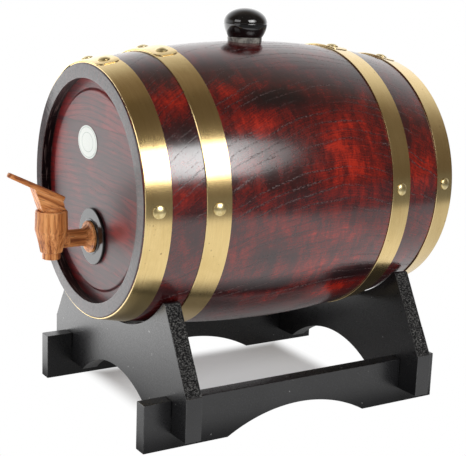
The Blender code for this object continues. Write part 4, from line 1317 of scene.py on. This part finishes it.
def lower_cradle_outline():
    """The board below the seam: slots for the rails, feet outside them and an arch between."""
    slot = STAND_GAP + RAIL_OUTER_X
    inner = RAIL_OUTER_X - RAIL_THICKNESS - STAND_GAP
    roof = LAP_Z + STAND_GAP / 2
    seam = CRADLE_SEAM_Z - HAIR / 2
    right = [
        (inner, CRADLE_BOTTOM_Z),
        (inner, roof),
        (slot, roof),
        (slot, CRADLE_BOTTOM_Z),
        (CRADLE_HALF_WIDTH, CRADLE_BOTTOM_Z),
        (CRADLE_HALF_WIDTH, CRADLE_CORNER_Z),
        (CRADLE_HALF_WIDTH - CRADLE_LEDGE, CRADLE_CORNER_Z),
        (slant_x(seam), seam),
    ]
    arch = arch_points(CRADLE_ARCH_HALF_SPAN, CRADLE_BOTTOM_Z, CRADLE_ARCH_TOP_Z - CRADLE_BOTTOM_Z)
    return right + mirrored(right) + arch[::-1]


def upper_cradle_outline():
    """The board above the seam, with the round seat the barrel rests in."""
    seam = CRADLE_SEAM_Z + HAIR / 2
    seat = outer_radius(CRADLE_OFFSET - BOARD / 2) + SEAT_GAP
    reach = asin(sqrt(seat**2 - (AXIS_Z - EAR_Z) ** 2) / seat)
    right = [(slant_x(seam), seam), (EAR_OUTER_X, EAR_Z)]
    return right + [(x, AXIS_Z - drop) for x, drop in arc(seat, reach, 60)] + mirrored(right)


def off_the_seam(edge):
    """Edges in the glued seam stay sharp along the board's faces, so that the joint barely shows."""
    in_seam = [abs(vert.co.z - CRADLE_SEAM_Z) < HAIR for vert in edge.verts]
    across = abs(edge.verts[0].co.y - edge.verts[1].co.y) > BOARD / 2
    return not all(in_seam) or across


def build_stand():
    """Two rails and two cradles, lapped together; each cradle is two boards glued at a seam."""
    paint = [black_board()]
    for name, inner_x in (("left_rail", -RAIL_OUTER_X), ("right_rail", RAIL_OUTER_X - RAIL_THICKNESS)):
        bm = extrude_outline(rail_outline(), RAIL_THICKNESS, lambda y, z, w: (inner_x + w, BARREL_Y + y, z))
        add_piece(name, mesh_from(bevel_edges(bm, BOARD_EDGE), paint), "stand")
    outlines = (("upper", upper_cradle_outline()), ("lower", lower_cradle_outline()))
    for side, middle in (("front", -CRADLE_OFFSET), ("rear", CRADLE_OFFSET)):
        near = BARREL_Y + middle - BOARD / 2
        for level, outline in outlines:
            name = f"{side}_cradle_{level}_board"
            bm = extrude_outline(outline, BOARD, lambda x, z, w: (x, near + w, z))
            bevel_edges(bm, BOARD_EDGE, 2, off_the_seam)
            add_piece(name, mesh_from(bm, paint), "stand")


# ---- studio

TARGET = Vector((3.59 * MM, 19.19 * MM, 126.07 * MM))
VIEW_AZIMUTH = 57.89  # degrees
VIEW_ELEVATION = 12.72  # degrees
VIEW_ROLL = radians(2.17)
VIEW_DISTANCE = 863.2 * MM
LENS = 89.42  # mm
SENSOR = 36  # mm
FLOOR_HALF_SIZE = 14.0


def direction(azimuth, elevation):
    """Unit vector at an azimuth from -Y towards +X and an elevation above the horizon, in degrees."""
    a = radians(azimuth)
    e = radians(elevation)
    return Vector((sin(a) * cos(e), -cos(a) * cos(e), sin(e)))


def add_camera():
    """A long lens from the front right, a little above the barrel and slightly rolled."""
    back = direction(VIEW_AZIMUTH, VIEW_ELEVATION)
    right = (-back).cross(Vector((0, 0, 1))).normalized()
    up = right.cross(-back)
    rolled_right = right * cos(VIEW_ROLL) + up * sin(VIEW_ROLL)
    rolled_up = up * cos(VIEW_ROLL) - right * sin(VIEW_ROLL)
    data = bpy.data.cameras.new("camera")
    data.lens = LENS
    data.sensor_width = SENSOR
    camera = new_object("camera", data)
    turn = Matrix((rolled_right, rolled_up, back)).transposed().to_4x4()
    camera.matrix_world = Matrix.Translation(TARGET + back * VIEW_DISTANCE) @ turn
    bpy.context.scene.camera = camera


def softbox(name, azimuth, elevation, distance, width, height, radiance, shape="RECTANGLE"):
    """A flat light facing the barrel; radiance is what a mirror would show of it."""
    data = bpy.data.lights.new(name, "AREA")
    data.shape = shape
    data.size = width
    data.size_y = height
    data.energy = radiance * width * height * pi
    lamp = new_object(name, data)
    towards = direction(azimuth, elevation)
    lamp.location = Vector((0, BARREL_Y, AXIS_Z)) + towards * distance
    lamp.rotation_euler = towards.to_track_quat("Z", "Y").to_euler()


def add_world():
    """A studio that is bright behind and to the left of the barrel, and dim overhead and to the right."""
    world = bpy.data.worlds.new("studio")
    bpy.context.scene.world = world
    g = Graph("studio", world)
    place = g.signal(g.node("ShaderNodeTexCoord", {}), "Generated")
    x, y, z = g.split(place)
    level = g.math("MAXIMUM", g.distance(x, y), 0.001)

    def facing(azimuth):
        towards = direction(azimuth, 0)
        return (x * towards.x + y * towards.y) / level

    backdrop = g.remap(facing(-115), 0.1, 0.85) * g.remap(z, 1.0, 0.42)
    wall = g.remap(facing(-62), 0.45, 0.9) * g.remap(z, 0.50, 0.15) * 0.9
    strength = backdrop * 1.1 + wall + g.remap(facing(-115), -0.1, 0.7, 0.11, 0.18)
    ray = g.signal(g.node("ShaderNodeLightPath", {}), "Is Camera Ray")
    warmth = g.remap(strength, 0.6, 0.1) * (1.0 - ray)
    colour = g.mix(warmth, (1.0, 1.0, 1.0), (1.0, 0.80, 0.62))
    surface = g.node("ShaderNodeBackground", {"Color": colour, "Strength": g.lerp(ray, strength, 1.0)})
    g.node("ShaderNodeOutputWorld", {"Surface": g.signal(surface)})


def floor_material():
    """Matt white under the stand, and lit to plain white round it; the lit sweep is widest on the left, and a
    painted shadow dims the glow under and beside the stand.
    """
    g = Graph("studio_floor")
    x, y, z = g.place()
    offset = y - BARREL_Y
    reach = g.distance(x, offset)
    across = g.absolute(x) - RAIL_OUTER_X
    lengthways = g.absolute(offset) - RAIL_LENGTH / 2
    outside = g.math("MAXIMUM", across + 8 * MM, lengthways + 34 * MM)
    left = direction(-62, 0)
    facing = (x * left.x + offset * left.y) / g.math("MAXIMUM", reach, 0.001)
    glow = g.remap(facing, 0.3, 0.85) * g.remap(reach, 0.13, 0.28) * 1.6 + 1.0
    # Painted shadow: the glow drops to a quarter under and beside the stand and comes back within 45 mm
    # outside the rails.
    glow = glow * g.remap(across, 5 * MM, 45 * MM, g.remap(lengthways, 0.0, 20 * MM, 0.25, 1.0), 1.0)
    glow = glow * g.remap(offset, 0.20, 0.30, 1.0, 0.7)
    dark = g.remap(facing, 0.2, -0.1) * g.remap(reach, 0.60, 0.68)
    ray = g.signal(g.node("ShaderNodeLightPath", {}), "Is Camera Ray")
    glow = g.lerp(ray, g.lerp(dark, glow, 0.18), 1.0)
    diffuse = g.node("ShaderNodeBsdfDiffuse", {"Color": (0.82, 0.82, 0.83)})
    lit = g.node("ShaderNodeEmission", {"Color": (1.0, 1.0, 1.0), "Strength": glow})
    outside = g.lerp(ray, outside, g.math("MAXIMUM", outside, x - 25 * MM))
    share = g.remap(outside, -14 * MM, 6 * MM, g.lerp(ray, 0.35, 0.20), 1.0)
    shader = g.node("ShaderNodeMixShader", {0: share, 1: g.signal(diffuse), 2: g.signal(lit)})
    g.node("ShaderNodeOutputMaterial", {"Surface": g.signal(shader)})
    return g.owner


def add_floor():
    """A floor so wide that its edge stays out of view."""
    bm = bmesh.new()
    bmesh.ops.create_grid(bm, x_segments=1, y_segments=1, size=FLOOR_HALF_SIZE)
    new_object("floor", mesh_from(bm, [floor_material()]))


def build_studio():
    """Camera, surroundings and lamps: azimuth, elevation, distance, width, height and radiance."""
    bpy.context.scene.view_settings.view_transform = "Standard"
    add_camera()
    add_world()
    add_floor()
    softbox("side_softbox", 94, 28, 1.30, 0.72, 0.62, 2.8)
    softbox("side_softbox_core", 90, 28, 1.29, 0.66, 0.56, 3.2, "ELLIPSE")
    softbox("side_softbox_edge", 105, 28, 1.32, 0.66, 0.58, 1.8, "ELLIPSE")
    softbox("front_softbox", 15, 26, 1.4, 0.75, 0.5, 2.5)


build_staves()
head_oak = oak_head("head_oak")
build_head("front", head_oak)
build_head("rear", head_oak)
build_hoops()
build_tap()
build_washer()
build_key()
build_bung()
build_label()
build_stand()
build_studio()
